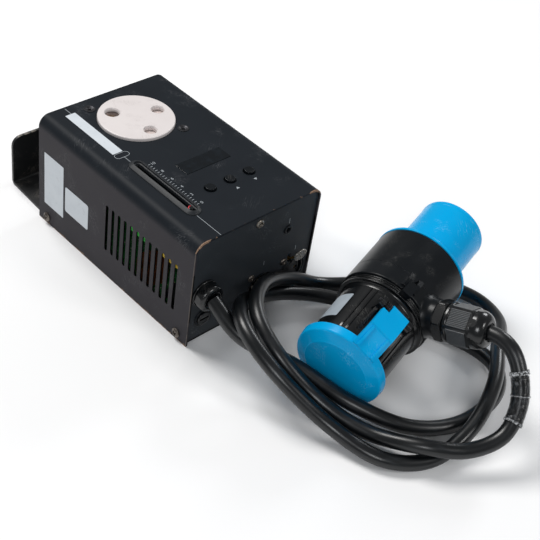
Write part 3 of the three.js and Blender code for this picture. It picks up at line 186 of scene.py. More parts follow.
def soften(points, radius, closed=False, steps=4):
    """An outline with its corners rounded. A point may carry its own radius as a third number."""
    count = len(points)
    result = []
    for i, point in enumerate(points):
        here = Vector(point[:2])
        reach = point[2] if len(point) > 2 else radius
        if not closed and i in (0, count - 1) or reach <= 0:
            result.append(tuple(here))
            continue
        before = Vector(points[i - 1][:2]) - here
        after = Vector(points[(i + 1) % count][:2]) - here
        a = here + before.normalized() * min(reach, before.length * 0.48)
        b = here + after.normalized() * min(reach, after.length * 0.48)
        for k in range(steps + 1):
            u = k / steps
            result.append(tuple(a * (1 - u) ** 2 + here * 2 * u * (1 - u) + b * u * u))
    return result


# Shapes. Each gives a bmesh in metres


def lathe(place, profile, sides=96, at=(0, 0), steps=4):
    """A shape turned about the frame's Z from (radius, height) pairs, where a third number rounds
    the corner. It closes on itself where the first pair is the last one."""
    if any(len(point) > 2 for point in profile):
        profile = soften(profile, 0, steps=steps)
    shape = bmesh.new()
    rings = []
    for radius, height in profile:
        if rings and rounded((radius, height)) == rounded(profile[0]):
            rings.append(rings[0])
        elif radius < 1e-6:
            rings.append([shape.verts.new(place @ Vector((at[0], at[1], height)))])
        else:
            turns = [2 * math.pi * k / sides for k in range(sides)]
            rings.append([
                shape.verts.new(place @ Vector((
                    at[0] + radius * math.cos(t), at[1] + radius * math.sin(t), height)))
                for t in turns
            ])
    for low, high in zip(rings, rings[1:]):
        for k in range(sides):
            n = (k + 1) % sides
            corners = list(dict.fromkeys((
                low[k % len(low)], low[n % len(low)], high[n % len(high)], high[k % len(high)],
            )))
            if len(corners) > 2:
                shape.faces.new(corners)
    bmesh.ops.recalc_face_normals(shape, faces=shape.faces)
    return shape


def rounded(pair):
    return [round(value, 5) for value in pair]


def loft(place, loops, closed=False):
    """A skin through loops of (x, y, z) points, capped at both ends unless it closes on itself."""
    shape = bmesh.new()
    rings = [[shape.verts.new(place @ Vector(p)) for p in loop] for loop in loops]
    pairs = list(zip(rings, rings[1:] + rings[:1] if closed else rings[1:]))
    for low, high in pairs:
        for k in range(len(low)):
            n = (k + 1) % len(low)
            shape.faces.new((low[k], low[n], high[n], high[k]))
    if not closed:
        shape.faces.new(rings[0])
        shape.faces.new(rings[-1])
    bmesh.ops.recalc_face_normals(shape, faces=shape.faces)
    return shape


def prism(place, outline, low, high):
    return loft(place, [[(x, y, h) for x, y in outline] for h in (low, high)])


def slab(place, points, radius, low, high):
    """A prism with the corners of its outline rounded."""
    return prism(place, soften(points, radius, closed=True), low, high)


def brick(place, x0, x1, y0, y1, z0, z1):
    return prism(place, [(x0, y0), (x1, y0), (x1, y1), (x0, y1)], z0, z1)


def rod(place, x, y, radius, low, high, sides=64):
    return lathe(place, [(0, low), (radius, low), (radius, high), (0, high)], sides, (x, y))


def steady_frames(points):
    """A sideways pair of directions at each point of a path, carried along without twisting."""
    count = len(points)
    ahead = [
        (points[min(i + 1, count - 1)] - points[max(i - 1, 0)]).normalized() for i in range(count)
    ]
    side = ahead[0].orthogonal().normalized()
    frames = []
    for direction in ahead:
        side = (side - direction * side.dot(direction)).normalized()
        frames.append((side, direction.cross(side)))
    return frames


def sweep(points, radius_at, sides=24, inner=None):
    """A round tube along points in metres. radius_at gives the radius by the point's place.
    Its UV map runs round the tube and along it in metres."""
    points = [Vector(p) for p in points]
    shape = bmesh.new()
    layer = shape.loops.layers.uv.new("Along")
    frames = steady_frames(points)
    lengths = [0.0]
    for a, b in zip(points, points[1:]):
        lengths.append(lengths[-1] + (b - a).length)

    def ring(i, radius):
        right, up = frames[i]
        turns = [2 * math.pi * k / sides for k in range(sides)]
        return [
            shape.verts.new(points[i] + (right * math.cos(t) + up * math.sin(t)) * radius)
            for t in turns
        ]

    def skin(rings):
        for i in range(len(rings) - 1):
            for k in range(sides):
                n = (k + 1) % sides
                face = shape.faces.new((rings[i][k], rings[i][n], rings[i + 1][n], rings[i + 1][k]))
                places = ((k, i), (k + 1, i), (k + 1, i + 1), (k, i + 1))
                for loop, (u, v) in zip(face.loops, places):
                    loop[layer].uv = (u / sides, lengths[v])

    outside = [ring(i, radius_at(i)) for i in range(len(points))]
    skin(outside)
    if inner is None:
        for end in (outside[0], outside[-1]):
            shape.faces.new(end)
    else:
        inside = [ring(i, inner) for i in range(len(points))]
        skin(inside)
        for a, b in ((outside[0], inside[0]), (outside[-1], inside[-1])):
            for k in range(sides):
                n = (k + 1) % sides
                shape.faces.new((a[k], a[n], b[n], b[k]))
    bmesh.ops.recalc_face_normals(shape, faces=shape.faces)
    return shape


def together(*shapes):
    """Several separate shapes as one."""
    whole = bmesh.new()
    for shape in shapes:
        mesh = bpy.data.meshes.new("part")
        shape.to_mesh(mesh)
        shape.free()
        whole.from_mesh(mesh)
        bpy.data.meshes.remove(mesh)
    return whole


def object_of(shape, name="part"):
    """A linked object from a bmesh or a mesh."""
    mesh = shape
    if isinstance(shape, bmesh.types.BMesh):
        mesh = bpy.data.meshes.new(name)
        shape.to_mesh(mesh)
        shape.free()
    made = bpy.data.objects.new(name, mesh)
    bpy.context.scene.collection.objects.link(made)
    return made


def plain_mesh(thing):
    """An object's mesh with its modifiers applied. The object is removed."""
    graph = bpy.context.evaluated_depsgraph_get()
    mesh = bpy.data.meshes.new_from_object(
        thing.evaluated_get(graph), preserve_all_data_layers=True, depsgraph=graph
    )
    old = thing.data
    bpy.data.objects.remove(thing)
    if old is not None and old.users == 0 and isinstance(old, bpy.types.Mesh):
        bpy.data.meshes.remove(old)
    return mesh


def shaped(base, cuts=(), joins=(), within=()):
    """A shape after others are joined on, cut to, and cut away, in that order."""
    body = object_of(base)
    tools = []
    for operation, group in (("UNION", joins), ("INTERSECT", within), ("DIFFERENCE", cuts)):
        for shape in group:
            tool = object_of(shape)
            tools.append(tool)
            step = body.modifiers.new(operation, "BOOLEAN")
            step.operation = operation
            step.solver = "EXACT"
            step.object = tool
    mesh = plain_mesh(body)
    for tool in tools:
        old = tool.data
        bpy.data.objects.remove(tool)
        bpy.data.meshes.remove(old)
    shape = bmesh.new()
    shape.from_mesh(mesh)
    bpy.data.meshes.remove(mesh)
    bmesh.ops.remove_doubles(shape, verts=shape.verts, dist=WELD)
    bmesh.ops.dissolve_degenerate(shape, edges=shape.edges, dist=WELD)
    return shape


def cad_copy(node):
    """A merged copy of a CAD node's mesh, with its flat faces made whole."""
    shape = bmesh.new()
    shape.from_mesh(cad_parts[node].data)
    bmesh.ops.remove_doubles(shape, verts=shape.verts, dist=WELD)
    bmesh.ops.dissolve_limit(
        shape, angle_limit=math.radians(1.0), verts=shape.verts, edges=shape.edges
    )
    return shape


def piece(name, shape, look, body="pack", replaces=(), slot=None, bevel=0.0, angle=38):
    """A finished piece: its edges eased by bevel in millimetres, and smooth but for its corners.
    Its slot, the one of its finish where no other is given, is worked out but not used."""
    made = object_of(shape, name)
    made.data.materials.clear()
    made.data.materials.append(finish(look))
    if bevel:
        ease = made.modifiers.new("Ease", "BEVEL")
        ease.width = bevel * MM
        ease.segments = 2
        ease.limit_method = "ANGLE"
        ease.angle_limit = math.radians(angle)
        ease.miter_outer = "MITER_ARC"
        made = object_of(plain_mesh(made), name)
    made.name = name
    made.data.name = name
    made.data.shade_smooth()
    made.data.set_sharp_from_angle(angle=math.radians(angle))
    if bevel:
        weigh = made.modifiers.new("Weigh", "WEIGHTED_NORMAL")
        weigh.keep_sharp = True
        weigh.weight = 80
        made = object_of(plain_mesh(made), name)
        made.name = name
    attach(made, body)
    if replaces:
        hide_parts(*([replaces] if isinstance(replaces, str) else replaces))
    slot = slot or SLOTS.get(look)
    return made


def on_tap(*args, **kwargs):
    """A piece of the through-tap, which hangs on the cord's end."""
    made = piece(*args, **kwargs)
    on_the_tap.append(made)
    return made


# Node trees


def socket_of(sockets, key):
    """A node's socket by its identifier, its name or its number."""
    if isinstance(key, int):
        return sockets[key]
    for socket in sockets:
        if socket.identifier == key:
            return socket
    return sockets[key]


class Link:
    """An output in a node tree that can take part in sums."""

    def __init__(self, tree, socket):
        self.tree = tree
        self.socket = socket

    def __add__(self, other):
        return self.tree.math("ADD", self, other)

    def __radd__(self, other):
        return self.tree.math("ADD", other, self)

    def __sub__(self, other):
        return self.tree.math("SUBTRACT", self, other)

    def __rsub__(self, other):
        return self.tree.math("SUBTRACT", other, self)

    def __mul__(self, other):
        return self.tree.math("MULTIPLY", self, other)


    def __truediv__(self, other):
        return self.tree.math("DIVIDE", self, other)


    def rises(self, low, high):
        """0 below low, 1 above high, and smooth between them. It falls where high is less."""
        if high < low:
            return 1 - self.rises(high, low)
        return self.tree.node(
            "ShaderNodeMapRange", {"interpolation_type": "SMOOTHSTEP"},
            {"Value": self, "From Min": low, "From Max": high},
        )


class Tree:
    """A node tree that is filled in by expressions."""

    def __init__(self, nodes, links):
        self.nodes = nodes
        self.links = links

    def node(self, kind, settings=None, sockets=None, out=0):
        """Adds a node. Its settings come first, then the values or links of its sockets."""
        made = self.nodes.new(kind)
        for key, value in (settings or {}).items():
            if key == "stops":
                ramp = made.color_ramp
                while len(ramp.elements) < len(value):
                    ramp.elements.new(0.5)
                for element, (place, color) in zip(ramp.elements, value):
                    element.position = place
                    element.color = (*color, 1.0)
            else:
                setattr(made, key, value)
        for key, value in (sockets or {}).items():
            socket = socket_of(made.inputs, key)
            if isinstance(value, Link):
                self.links.new(value.socket, socket)
            elif isinstance(value, (tuple, list)) and socket.type == "RGBA":
                socket.default_value = (*value[:3], 1.0)
            else:
                socket.default_value = value
        return Link(self, socket_of(made.outputs, out))

    def math(self, operation, a, b=0.0):
        return self.node("ShaderNodeMath", {"operation": operation}, {0: a, 1: b})


def linear(code):
    """A colour written as six hexadecimal digits, as linear numbers."""
    values = [int(code[i:i + 2], 16) / 255 for i in (0, 2, 4)]
    return tuple(v / 12.92 if v <= 0.04045 else ((v + 0.055) / 1.055) ** 2.4 for v in values)


class Finish(Tree):
    """A material. Patterns sit on the piece's own coordinates, in millimetres."""

    def __init__(self, name):
        self.material = bpy.data.materials.new(name)
        self.material.use_nodes = True
        inside = self.material.node_tree
        inside.nodes.clear()
        super().__init__(inside.nodes, inside.links)
        place = self.node("ShaderNodeTexCoord", out="Object")
        self.place = self.scaled(place, (1000, 1000, 1000))
        self.x, self.y, self.z = (
            Link(self, self.split(self.place).outputs[i]) for i in range(3)
        )

    def scaled(self, vector, scale):
        return self.node(
            "ShaderNodeVectorMath", {"operation": "MULTIPLY"}, {0: vector, 1: scale}
        )

    def split(self, vector):
        return self.node("ShaderNodeSeparateXYZ", {}, {"Vector": vector}).socket.node

    def noise(self, size, detail=3.0, rough=0.5, stretch=(1, 1, 1), seed=0.0):
        """Soft cloudy values from 0 to 1, with features about size millimetres across."""
        where = self.scaled(self.place, [v / size for v in stretch])
        return self.node(
            "ShaderNodeTexNoise", {"noise_dimensions": "4D"},
            {"Vector": where, "W": seed, "Scale": 1.0, "Detail": detail, "Roughness": rough},
        )

    def cells(self, size, feature="F1"):
        where = self.scaled(self.place, [1 / size] * 3)
        return self.node(
            "ShaderNodeTexVoronoi", {"feature": feature}, {"Vector": where, "Scale": 1.0}
        )

    def distance(self, point):
        """How far the surface is from a point, in millimetres."""
        return self.node(
            "ShaderNodeVectorMath", {"operation": "DISTANCE"}, {0: self.place, 1: point},
            out="Value",
        )

    def scratches(self, size, turn, seed, keep=0.035):
        """Fine straight hairlines, most of them fading out."""
        leaned = self.node(
            "ShaderNodeMapping", {}, {"Vector": self.place, "Rotation": (0.3, 0.5, turn)}
        )
        where = self.scaled(leaned, (1 / size, 12 / size, 3 / size))
        lines = self.node(
            "ShaderNodeTexNoise", {"noise_dimensions": "4D"},
            {"Vector": where, "W": seed, "Scale": 1.0, "Detail": 1.0},
        )
        thin = 1 - self.math("ABSOLUTE", lines - 0.5).rises(0.0, keep)
        return thin * self.noise(size * 2, 2.0, seed=seed + 3).rises(0.56, 0.68)

    def mix(self, share, a, b):
        """Colour a where share is 0, and b where it is 1. Each is a link, numbers or six digits."""
        a, b = (linear(color) if isinstance(color, str) else color for color in (a, b))
        return self.node(
            "ShaderNodeMix", {"data_type": "RGBA"},
            {"Factor_Float": share, "A_Color": a, "B_Color": b}, out="Result_Color",
        )

    def speckle(self, size, low, high, seed=0.0):
        return self.noise(size, 4.0, 0.6, seed=seed).rises(low, high)

    def done(self, color, roughness, bump=None, depth=0.02, **constants):
        """Joins the shader up. bump is a height from 0 to 1, and depth its size in millimetres."""
        sockets = {"Base Color": color, "Roughness": roughness}
        if bump is not None:
            sockets["Normal"] = self.node(
                "ShaderNodeBump", {}, {"Strength": 1.0, "Distance": depth * MM, "Height": bump},
                out="Normal",
            )
        sockets.update({key.replace("_", " "): value for key, value in constants.items()})
        surface = self.node("ShaderNodeBsdfPrincipled", {}, sockets)
        end = self.nodes.new("ShaderNodeOutputMaterial")
        self.links.new(surface.socket, end.inputs["Surface"])
        return self.material


# Finishes



def box_paint(code, worn):
    """Dark sheet-steel enamel: fine texture, dust, hairlines, and wear along the cover's edges."""
    f = Finish("box_paint" if worn else "panel_paint")
    grain = f.noise(0.55, 2.0)
    cloud = f.noise(26, 4.0)
    dust = f.speckle(0.9, 0.69, 0.76, 5.0) * f.noise(30, 2.0, seed=2.0).rises(0.35, 0.7)
    lines = f.scratches(9, 0.9, 4.0) + f.scratches(14, -0.6, 9.0)
    base = linear(code)
    paint = f.mix(cloud, [v * 0.82 for v in base], [v * 1.22 for v in base])
    if worn:
        away = f.math("ABSOLUTE", f.x)
        # The sides are painted lighter and greyer than the top: painted light and shade for how the
        # light falls on them
        side = f.z.rises(80.0, 74.0)
        paint = f.mix(side * 0.97, paint, "343236")
        # The walls of the slots are painted near black: painted shade inside the slots
        slot_wall_shade = away.rises(53.42, 53.3) * f.z.rises(20.0, 21.5) * f.z.rises(61.0, 60.0)
        paint = f.mix(slot_wall_shade, paint, "060607")
    paint = f.mix(dust * 0.4, paint, "8d8a86")
    paint = f.mix(lines * 0.25, paint, "77787b")
    rough = 0.42 + cloud * 0.12 + dust * 0.2
    if worn:
        rim = f.y.rises(-79.9, -81.0)
        corner = f.z.rises(76.0, 82.0) * away.rises(40.0, 46.0)
        upper = f.z.rises(82.4, 83.4)
        lower = f.z.rises(74.0, 82.0) * away.rises(52.4, 53.2)
        chipped = f.noise(5.5, 5.0, 0.65, seed=1.0)
        reach = rim * (corner * 0.36 + upper * 0.16 + lower * 0.2 + 0.02)
        edge = (chipped + reach).rises(0.74, 0.79) * rim
        feet = (chipped + f.z.rises(2.2, 0.0) * 0.22).rises(0.66, 0.7) * f.z.rises(2.4, 1.0)
        spots = f.noise(3.2, 5.0, 0.6, seed=8.0).rises(0.745, 0.765)
        primer = f.mix(f.noise(1.2, 3.0, seed=6.0), "5c4233", "a98e78")
        bare = f.math("MINIMUM", edge + feet * 0.7 + spots * 0.6, 1.0)
        line = f.y.rises(-80.8, -81.2) * away.rises(52.8, 53.3) * f.noise(9, 3.0).rises(0.3, 0.5)
        paint = f.mix(line * 0.6, paint, "7a726b")
        paint = f.mix(bare, paint, primer)
        rough = rough + bare * 0.15
    bump = grain * 0.6 + cloud * 0.2 - lines * 0.5
    return f.done(paint, rough, bump, 0.035, Specular_IOR_Level=0.09 if worn else 0.2)


def bracket_paint():
    f = Finish("bracket_paint")
    cloud = f.noise(20, 4.0)
    dust = f.speckle(1.1, 0.66, 0.75, 3.0)
    lines = f.scratches(10, 0.4, 2.0) + f.scratches(8, 1.4, 7.0)
    edge = (f.noise(4, 5.0, 0.6, seed=4.0) + f.z.rises(38.6, 39.8) * 0.2).rises(0.69, 0.73)
    paint = f.mix(cloud, "0a0b0c", "141517")
    paint = f.mix(dust * 0.5, paint, "7d7b78")
    paint = f.mix(f.math("MINIMUM", edge + lines * 0.5, 1.0), paint, "6f6a63")
    return f.done(paint, 0.4 + cloud * 0.16, f.noise(0.7, 2.0), 0.03, Specular_IOR_Level=0.45)


def plain_metal(name, code, dull, rough, metallic=1.0):
    """Plated metal with brushed lines, tarnish in patches and small pits."""
    f = Finish(name)
    brushed = f.noise(0.6, 2.0, stretch=(1, 0.15, 1))
    tarnish = f.noise(2.6, 4.0, 0.6, seed=3.0).rises(0.42, 0.72)
    pits = f.speckle(0.5, 0.7, 0.78, 6.0)
    color = f.mix(tarnish, code, dull)
    color = f.mix(pits * 0.6, color, [v * 0.4 for v in linear(dull)])
    return f.done(
        color, rough + tarnish * 0.2 + brushed * 0.12, brushed * 0.6 - pits, 0.015,
        Metallic=metallic,
    )


def moulded(name, code, rough, dust=0.35, grain=0.3, speck="8b8985", scuff=0.5, tone=0.16,
            shine=0.5):
    """Moulded plastic: fine grain, uneven gloss, hairlines and a little dust."""
    f = Finish(name)
    cloud = f.noise(14, 4.0)
    fine = f.noise(0.45, 2.0)
    specks = f.speckle(0.8, 0.68, 0.76, 4.0) * f.noise(16, 2.0, seed=7.0).rises(0.4, 0.65)
    lines = f.scratches(6, 0.7, 1.0) + f.scratches(9, -0.9, 5.0)
    base = linear(code)
    color = f.mix(cloud, [v * (1 - tone) for v in base], [min(1.0, v * (1 + tone)) for v in base])
    color = f.mix(specks * dust, color, speck)
    color = f.mix(lines * scuff * 0.5, color, speck)
    return f.done(
        color, rough + cloud * 0.1 + specks * 0.2 + lines * 0.1,
        fine * grain + cloud * 0.2 - lines * scuff * 0.6, 0.03, Specular_IOR_Level=shine,
    )


def outlet_white():
    """Off-white urea moulding, worn glossy, with grey marks round the pin holes and painted shade
    down the holes.
    """
    f = Finish("outlet_white")
    cloud = f.noise(18, 4.0)
    base = f.mix(cloud, "cdc6c5", "d9d3d2")
    marks = f.scratches(4, 0.4, 2.0, 0.06) + f.scratches(5, -1.1, 6.0, 0.06)
    color = f.mix(marks * 0.25, base, "8b8180")
    for hole in (EARTH_HOLE, *POWER_HOLES):
        off = f.distance((*outlet_point(*hole), 84.5))
        near = off.rises(10.0, 4.0) * f.noise(2.2, 4.0, 0.6, seed=9.0).rises(0.46, 0.7)
        color = f.mix(near * 0.2, color, "7d7472")
    specks = f.speckle(0.9, 0.72, 0.77, 1.0)
    color = f.mix(specks * 0.5, color, "6e6460")
    # Down the holes and on the parts below the face, the moulding turns pinkish beige, more so deeper
    # down: painted shade in the holes
    color = f.mix(f.z.rises(84.6, 80.0) * 0.5, color, "d8b7a8")
    # Inside the earth hole the moulding is painted near black: painted shade down the hole
    reach = f.distance((*outlet_point(*EARTH_HOLE), 81.0))
    color = f.mix(reach.rises(5.6, 5.0) * f.z.rises(84.3, 83.4), color, "1b1411")
    return f.done(color, 0.3 + cloud * 0.12, f.noise(0.8, 2.0) * 0.4 - marks * 0.5, 0.02)


def tap_blue():
    """Blue polyamide: bright and glossy, with pale hairlines and dark specks of dirt."""
    f = Finish("tap_blue")
    cloud = f.noise(20, 4.0)
    color = f.mix(cloud, "0098d5", "00a8e2")
    pale = f.scratches(7, 0.5, 3.0, 0.03) + f.scratches(12, -0.7, 8.0, 0.025)
    dirt = f.noise(3.0, 5.0, 0.65, seed=5.0).rises(0.72, 0.75)
    color = f.mix(pale * 0.22, color, "b5e2f7")
    color = f.mix(dirt * 0.75, color, "1d4257")
    haze = f.noise(7, 3.0, seed=2.0).rises(0.45, 0.75)
    return f.done(
        color, 0.2 + haze * 0.08 + pale * 0.1, f.noise(0.7, 2.0) * 0.2 - pale * 0.4, 0.03,
        Specular_IOR_Level=0.14,
    )


def cord_jacket():
    """Semi-gloss cable jacket, wiped dusty in streaks that run along the cord."""
    f = Finish("cord_jacket")
    along = f.node("ShaderNodeUVMap", {"uv_map": "Along"})
    where = f.scaled(along, (9.0, 60.0, 1.0))
    streak = f.node(
        "ShaderNodeTexNoise", {"noise_dimensions": "3D"},
        {"Vector": where, "Scale": 1.0, "Detail": 4.0, "Roughness": 0.6},
    )
    spots = f.speckle(1.3, 0.68, 0.76, 2.0)
    haze = f.noise(24, 3.0, seed=4.0).rises(0.35, 0.75)
    color = f.mix(streak.rises(0.5, 0.85) * 0.4, "080b0e", "3c4147")
    color = f.mix(spots * haze * 0.35, color, "85837e")
    return f.done(
        color, 0.22 + haze * 0.1 + streak * 0.14, streak * 0.7 + f.noise(0.6, 2.0) * 0.2, 0.04,
        Specular_IOR_Level=0.5,
    )


def display_glass():
    f = Finish("display_glass")
    smear = f.noise(6, 4.0, 0.6).rises(0.4, 0.8)
    color = f.mix(smear, "080d12", "10181f")
    return f.done(color, 0.12 + smear * 0.16, None, Specular_IOR_Level=0.35)


def circuit_board():
    """Solder mask over copper tracks, with pale pads."""
    f = Finish("circuit_board")
    tracks = f.cells(3.2, feature="DISTANCE_TO_EDGE").rises(0.10, 0.06)
    pads = f.cells(2.4).rises(0.22, 0.16)
    color = f.mix(f.noise(9, 3.0), "155a2a", "1f7a38")
    color = f.mix(tracks * 0.5, color, "3f9a4e")
    color = f.mix(pads * 0.7, color, "c9c6b8")
    return f.done(color, 0.35 + pads * 0.1, tracks * 0.6 + pads, 0.05)


def copper_winding():
    """Lacquered wire laid side by side round the ring."""
    f = Finish("copper_winding")
    angle = f.math("ARCTAN2", f.y + 24.0, f.x + 36.0)
    turns = f.math("SINE", angle * 46.0) * 0.5 + 0.5
    color = f.mix(turns, "4d2412", "a8602f")
    return f.done(color, 0.3 + turns * 0.1, turns, 0.3, Metallic=0.4)


def paper_label(name, darker, paler):
    """A plain label: paper grain under a thin film, with grey worn edges."""
    f = Finish(name)
    cloud = f.noise(9, 4.0)
    grime = f.noise(4, 5.0, 0.65, seed=3.0).rises(0.55, 0.8)
    color = f.mix(cloud, darker, paler)
    color = f.mix(grime * 0.35, color, "8d9095")
    return f.done(color, 0.38 + cloud * 0.15, f.noise(1.2, 3.0), 0.03)


def printed(name, code):
    """Screen-printed ink with a few worn breaks."""
    f = Finish(name)
    worn = f.noise(1.6, 4.0, 0.6).rises(0.55, 0.72)
    color = f.mix(worn * 0.45, code, "4b4e52")
    return f.done(color, 0.5 + worn * 0.1, f.noise(0.5, 2.0), 0.01)


def clear_film():
    """Crinkled clear film over the cord."""
    f = Finish("clear_film")
    crease = f.noise(2.2, 4.0, 0.6, stretch=(1, 1, 0.5))
    # The creases are painted pale and less clear: painted highlight on the crinkles
    color = f.mix(crease.rises(0.4, 0.7), "1c1e21", "74777b")
    alpha = 0.08 + crease.rises(0.55, 0.68) * 0.4
    return f.done(color, 0.12 + crease * 0.12, crease, 0.5, Alpha=alpha)


def film_edge():
    """The crumpled ends of the clear film, their creases painted pale: painted highlight."""
    f = Finish("film_edge")
    crease = f.noise(1.3, 4.0, 0.6)
    # Pale creases: painted highlight on the crinkles
    color = f.mix(crease.rises(0.42, 0.62), "2a2c2e", "c9cccf")
    return f.done(color, 0.2 + crease * 0.1, crease, 0.4, Alpha=0.25 + crease.rises(0.4, 0.6) * 0.6)


def floor_finish():
    f = Finish("floor_finish")
    color = f.mix(f.noise(400, 2.0), "f1f2f3", "f6f6f7")
    return f.done(color, 0.75 + f.noise(60, 2.0) * 0.05, None)


FINISHES = {
    "box": lambda: box_paint("1b1f24", True),
    "panel": lambda: box_paint("272b2f", False),
    "bracket": bracket_paint,
    "nickel": lambda: plain_metal("nickel", "a39d93", "57524d", 0.24),
    "dark_steel": lambda: plain_metal("dark_steel", "3a3a3d", "232325", 0.35, 0.8),
    "old_steel": lambda: plain_metal("old_steel", "77706a", "3d3935", 0.28),
    "black": lambda: moulded("black_plastic", "0a0e12", 0.27, 0.12, 0.2, scuff=0.35, shine=0.22),
    "gloss": lambda: moulded("gloss_black", "0b0d0f", 0.17, 0.05, 0.1, scuff=0.25),
    "bezel": lambda: moulded("bezel_grey", "212428", 0.42, 0.2, 0.4, shine=0.25),
    "white": outlet_white,
    "blue": tap_blue,
    "glass": display_glass,
    "brass": lambda: plain_metal("brass", "c9a25a", "8a6a34", 0.28),
    "jacket": cord_jacket,
    "board": circuit_board,
    "aluminium": lambda: plain_metal("aluminium", "b6b9bc", "8f9396", 0.34),
    "copper": copper_winding,
    "yellow": lambda: moulded("yellow_case", "ffcf1c", 0.36, speck="6b5a1c"),
    "blue_case": lambda: moulded("blue_case", "2f86ee", 0.36, speck="16375f"),
    "green_case": lambda: moulded("green_case", "26d23a", 0.36, speck="0f5a18"),
    "film": clear_film,
    "film_edge": film_edge,
    "ceramic": lambda: moulded("fuse_ceramic", "e2dfd9", 0.25, speck="9b958c", tone=0.05),
    "label": lambda: paper_label("paper_label", "bcc3ca", "cfd5da"),
    "grey_label": lambda: paper_label("grey_label", "8e99a3", "a3adb5"),
    # The ribs' pale grey stands for light on their crests: painted highlight
    "rubbed": lambda: moulded("rib_highlight_grey", "46494c", 0.34, 0.2, 0.1),
    "chrome": lambda: plain_metal("chrome", "d6d2ca", "8f8a82", 0.16),
    "ink": lambda: printed("pale_ink", "9ba1a6"),
    "red": lambda: printed("red_mark", "d8343c"),
    "floor": floor_finish,
}

# The part's slot for each finish
SLOTS = {
    "box": "black_paint", "panel": "panel_paint", "bracket": "bracket_paint", "nickel": "nickel",
    "old_steel": "nickel", "chrome": "nickel", "dark_steel": "dark_steel", "brass": "brass",
    "black": "black_plastic", "gloss": "gloss_black", "rubbed": "gloss_black",
    "bezel": "grey_plastic", "white": "white_plastic", "blue": "blue_plastic",
    "glass": "dark_window", "jacket": "cord_rubber", "film": "clear_sleeve",
    "film_edge": "clear_sleeve",
}

# Filled in as the pieces are made: the finishes, the cord's facts, and what hangs on its end
made_finishes = {}
declared = {}
on_the_tap = []


def finish(name):
    if name not in made_finishes:
        made_finishes[name] = FINISHES[name]()
    return made_finishes[name]


# Geometry Nodes for what repeats


class Grower(Tree):
    """A geometry tree with named inputs, run once and turned into a plain mesh."""

    def __init__(self, name, **inputs):
        self.group = bpy.data.node_groups.new(name, "GeometryNodeTree")
        super().__init__(self.group.nodes, self.group.links)
        kinds = {int: "NodeSocketInt", float: "NodeSocketFloat"}
        self.values = {}
        sockets = self.group.interface
        sockets.new_socket("Geometry", in_out="OUTPUT", socket_type="NodeSocketGeometry")
        for label, value in inputs.items():
            kind = kinds.get(type(value), "NodeSocketMaterial")
            made = sockets.new_socket(label, in_out="INPUT", socket_type=kind)
            self.values[made.identifier] = value
        entry = self.nodes.new("NodeGroupInput")
        self.inputs = {key: Link(self, entry.outputs[key]) for key in inputs}

    def vector(self, x=0.0, y=0.0, z=0.0):
        return self.node("ShaderNodeCombineXYZ", {}, {"X": x, "Y": y, "Z": z})

    def copies(self, points, thing, rotation=(0, 0, 0), scale=(1, 1, 1)):
        return self.node(
            "GeometryNodeInstanceOnPoints", {},
            {"Points": points, "Instance": thing, "Rotation": rotation, "Scale": scale},
        )

    def row(self, count, offset, start=(0, 0, 0)):
        return self.node(
            "GeometryNodeMeshLine", {}, {"Count": count, "Start Location": start, "Offset": offset}
        )

    def around(self, count, thing):
        """Copies of a thing, turned evenly about Z."""
        ring = self.row(count, (0, 0, 0))
        turn = self.node("GeometryNodeInputIndex") * (2 * math.pi) / count
        return self.copies(ring, thing, rotation=self.vector(0.0, 0.0, turn))

    def grown(self, geometry, place):
        """The tree's result as a bmesh in metres, moved to its place."""
        real = self.node("GeometryNodeRealizeInstances", {}, {"Geometry": geometry})
        dressed = self.node(
            "GeometryNodeSetMaterial", {}, {"Geometry": real, "Material": self.inputs["Finish"]}
        )
        end = self.nodes.new("NodeGroupOutput")
        self.links.new(dressed.socket, end.inputs[0])
        holder = object_of(bpy.data.meshes.new("holder"), "holder")
        step = holder.modifiers.new("Grow", "NODES")
        step.node_group = self.group
        for identifier, value in self.values.items():
            step[identifier] = value
        mesh = plain_mesh(holder)
        shape = bmesh.new()
        shape.from_mesh(mesh)
        bpy.data.meshes.remove(mesh)
        bpy.data.node_groups.remove(self.group)
        shape.transform(place)
        bmesh.ops.remove_doubles(shape, verts=shape.verts, dist=1e-7)
        bmesh.ops.recalc_face_normals(shape, faces=shape.faces)
        return shape


def slot_row(place, count, pitch, width, height, depth, first, middle):
    """A row of round-ended bars along the frame's X, standing along its Y."""
    g = Grower("slot_row", Count=count, Pitch=pitch, Width=width, Height=height, Depth=depth,
               Finish=finish("box"))
    value = g.inputs
    edge = g.node(
        "GeometryNodeCurvePrimitiveQuadrilateral", {},
        {"Width": value["Width"], "Height": value["Height"]},
    )
    edge = g.node(
        "GeometryNodeFilletCurve", {"mode": "POLY"},
        {"Curve": edge, "Count": 6, "Radius": value["Width"] * 0.49},
    )
    face = g.node("GeometryNodeFillCurve", {"mode": "NGONS"}, {"Curve": edge})
    sides = g.node(
        "GeometryNodeExtrudeMesh", {},
        {"Mesh": face, "Offset Scale": value["Depth"], "Individual": False},
    )
    back = g.node("GeometryNodeFlipFaces", {}, {"Mesh": face})
    bar = g.node("GeometryNodeJoinGeometry", {}, {0: sides})
    g.links.new(back.socket, bar.socket.node.inputs[0])
    line = g.row(value["Count"], g.vector(value["Pitch"]), (first, middle, -depth / 2))
    return g.grown(g.copies(line, bar), place)


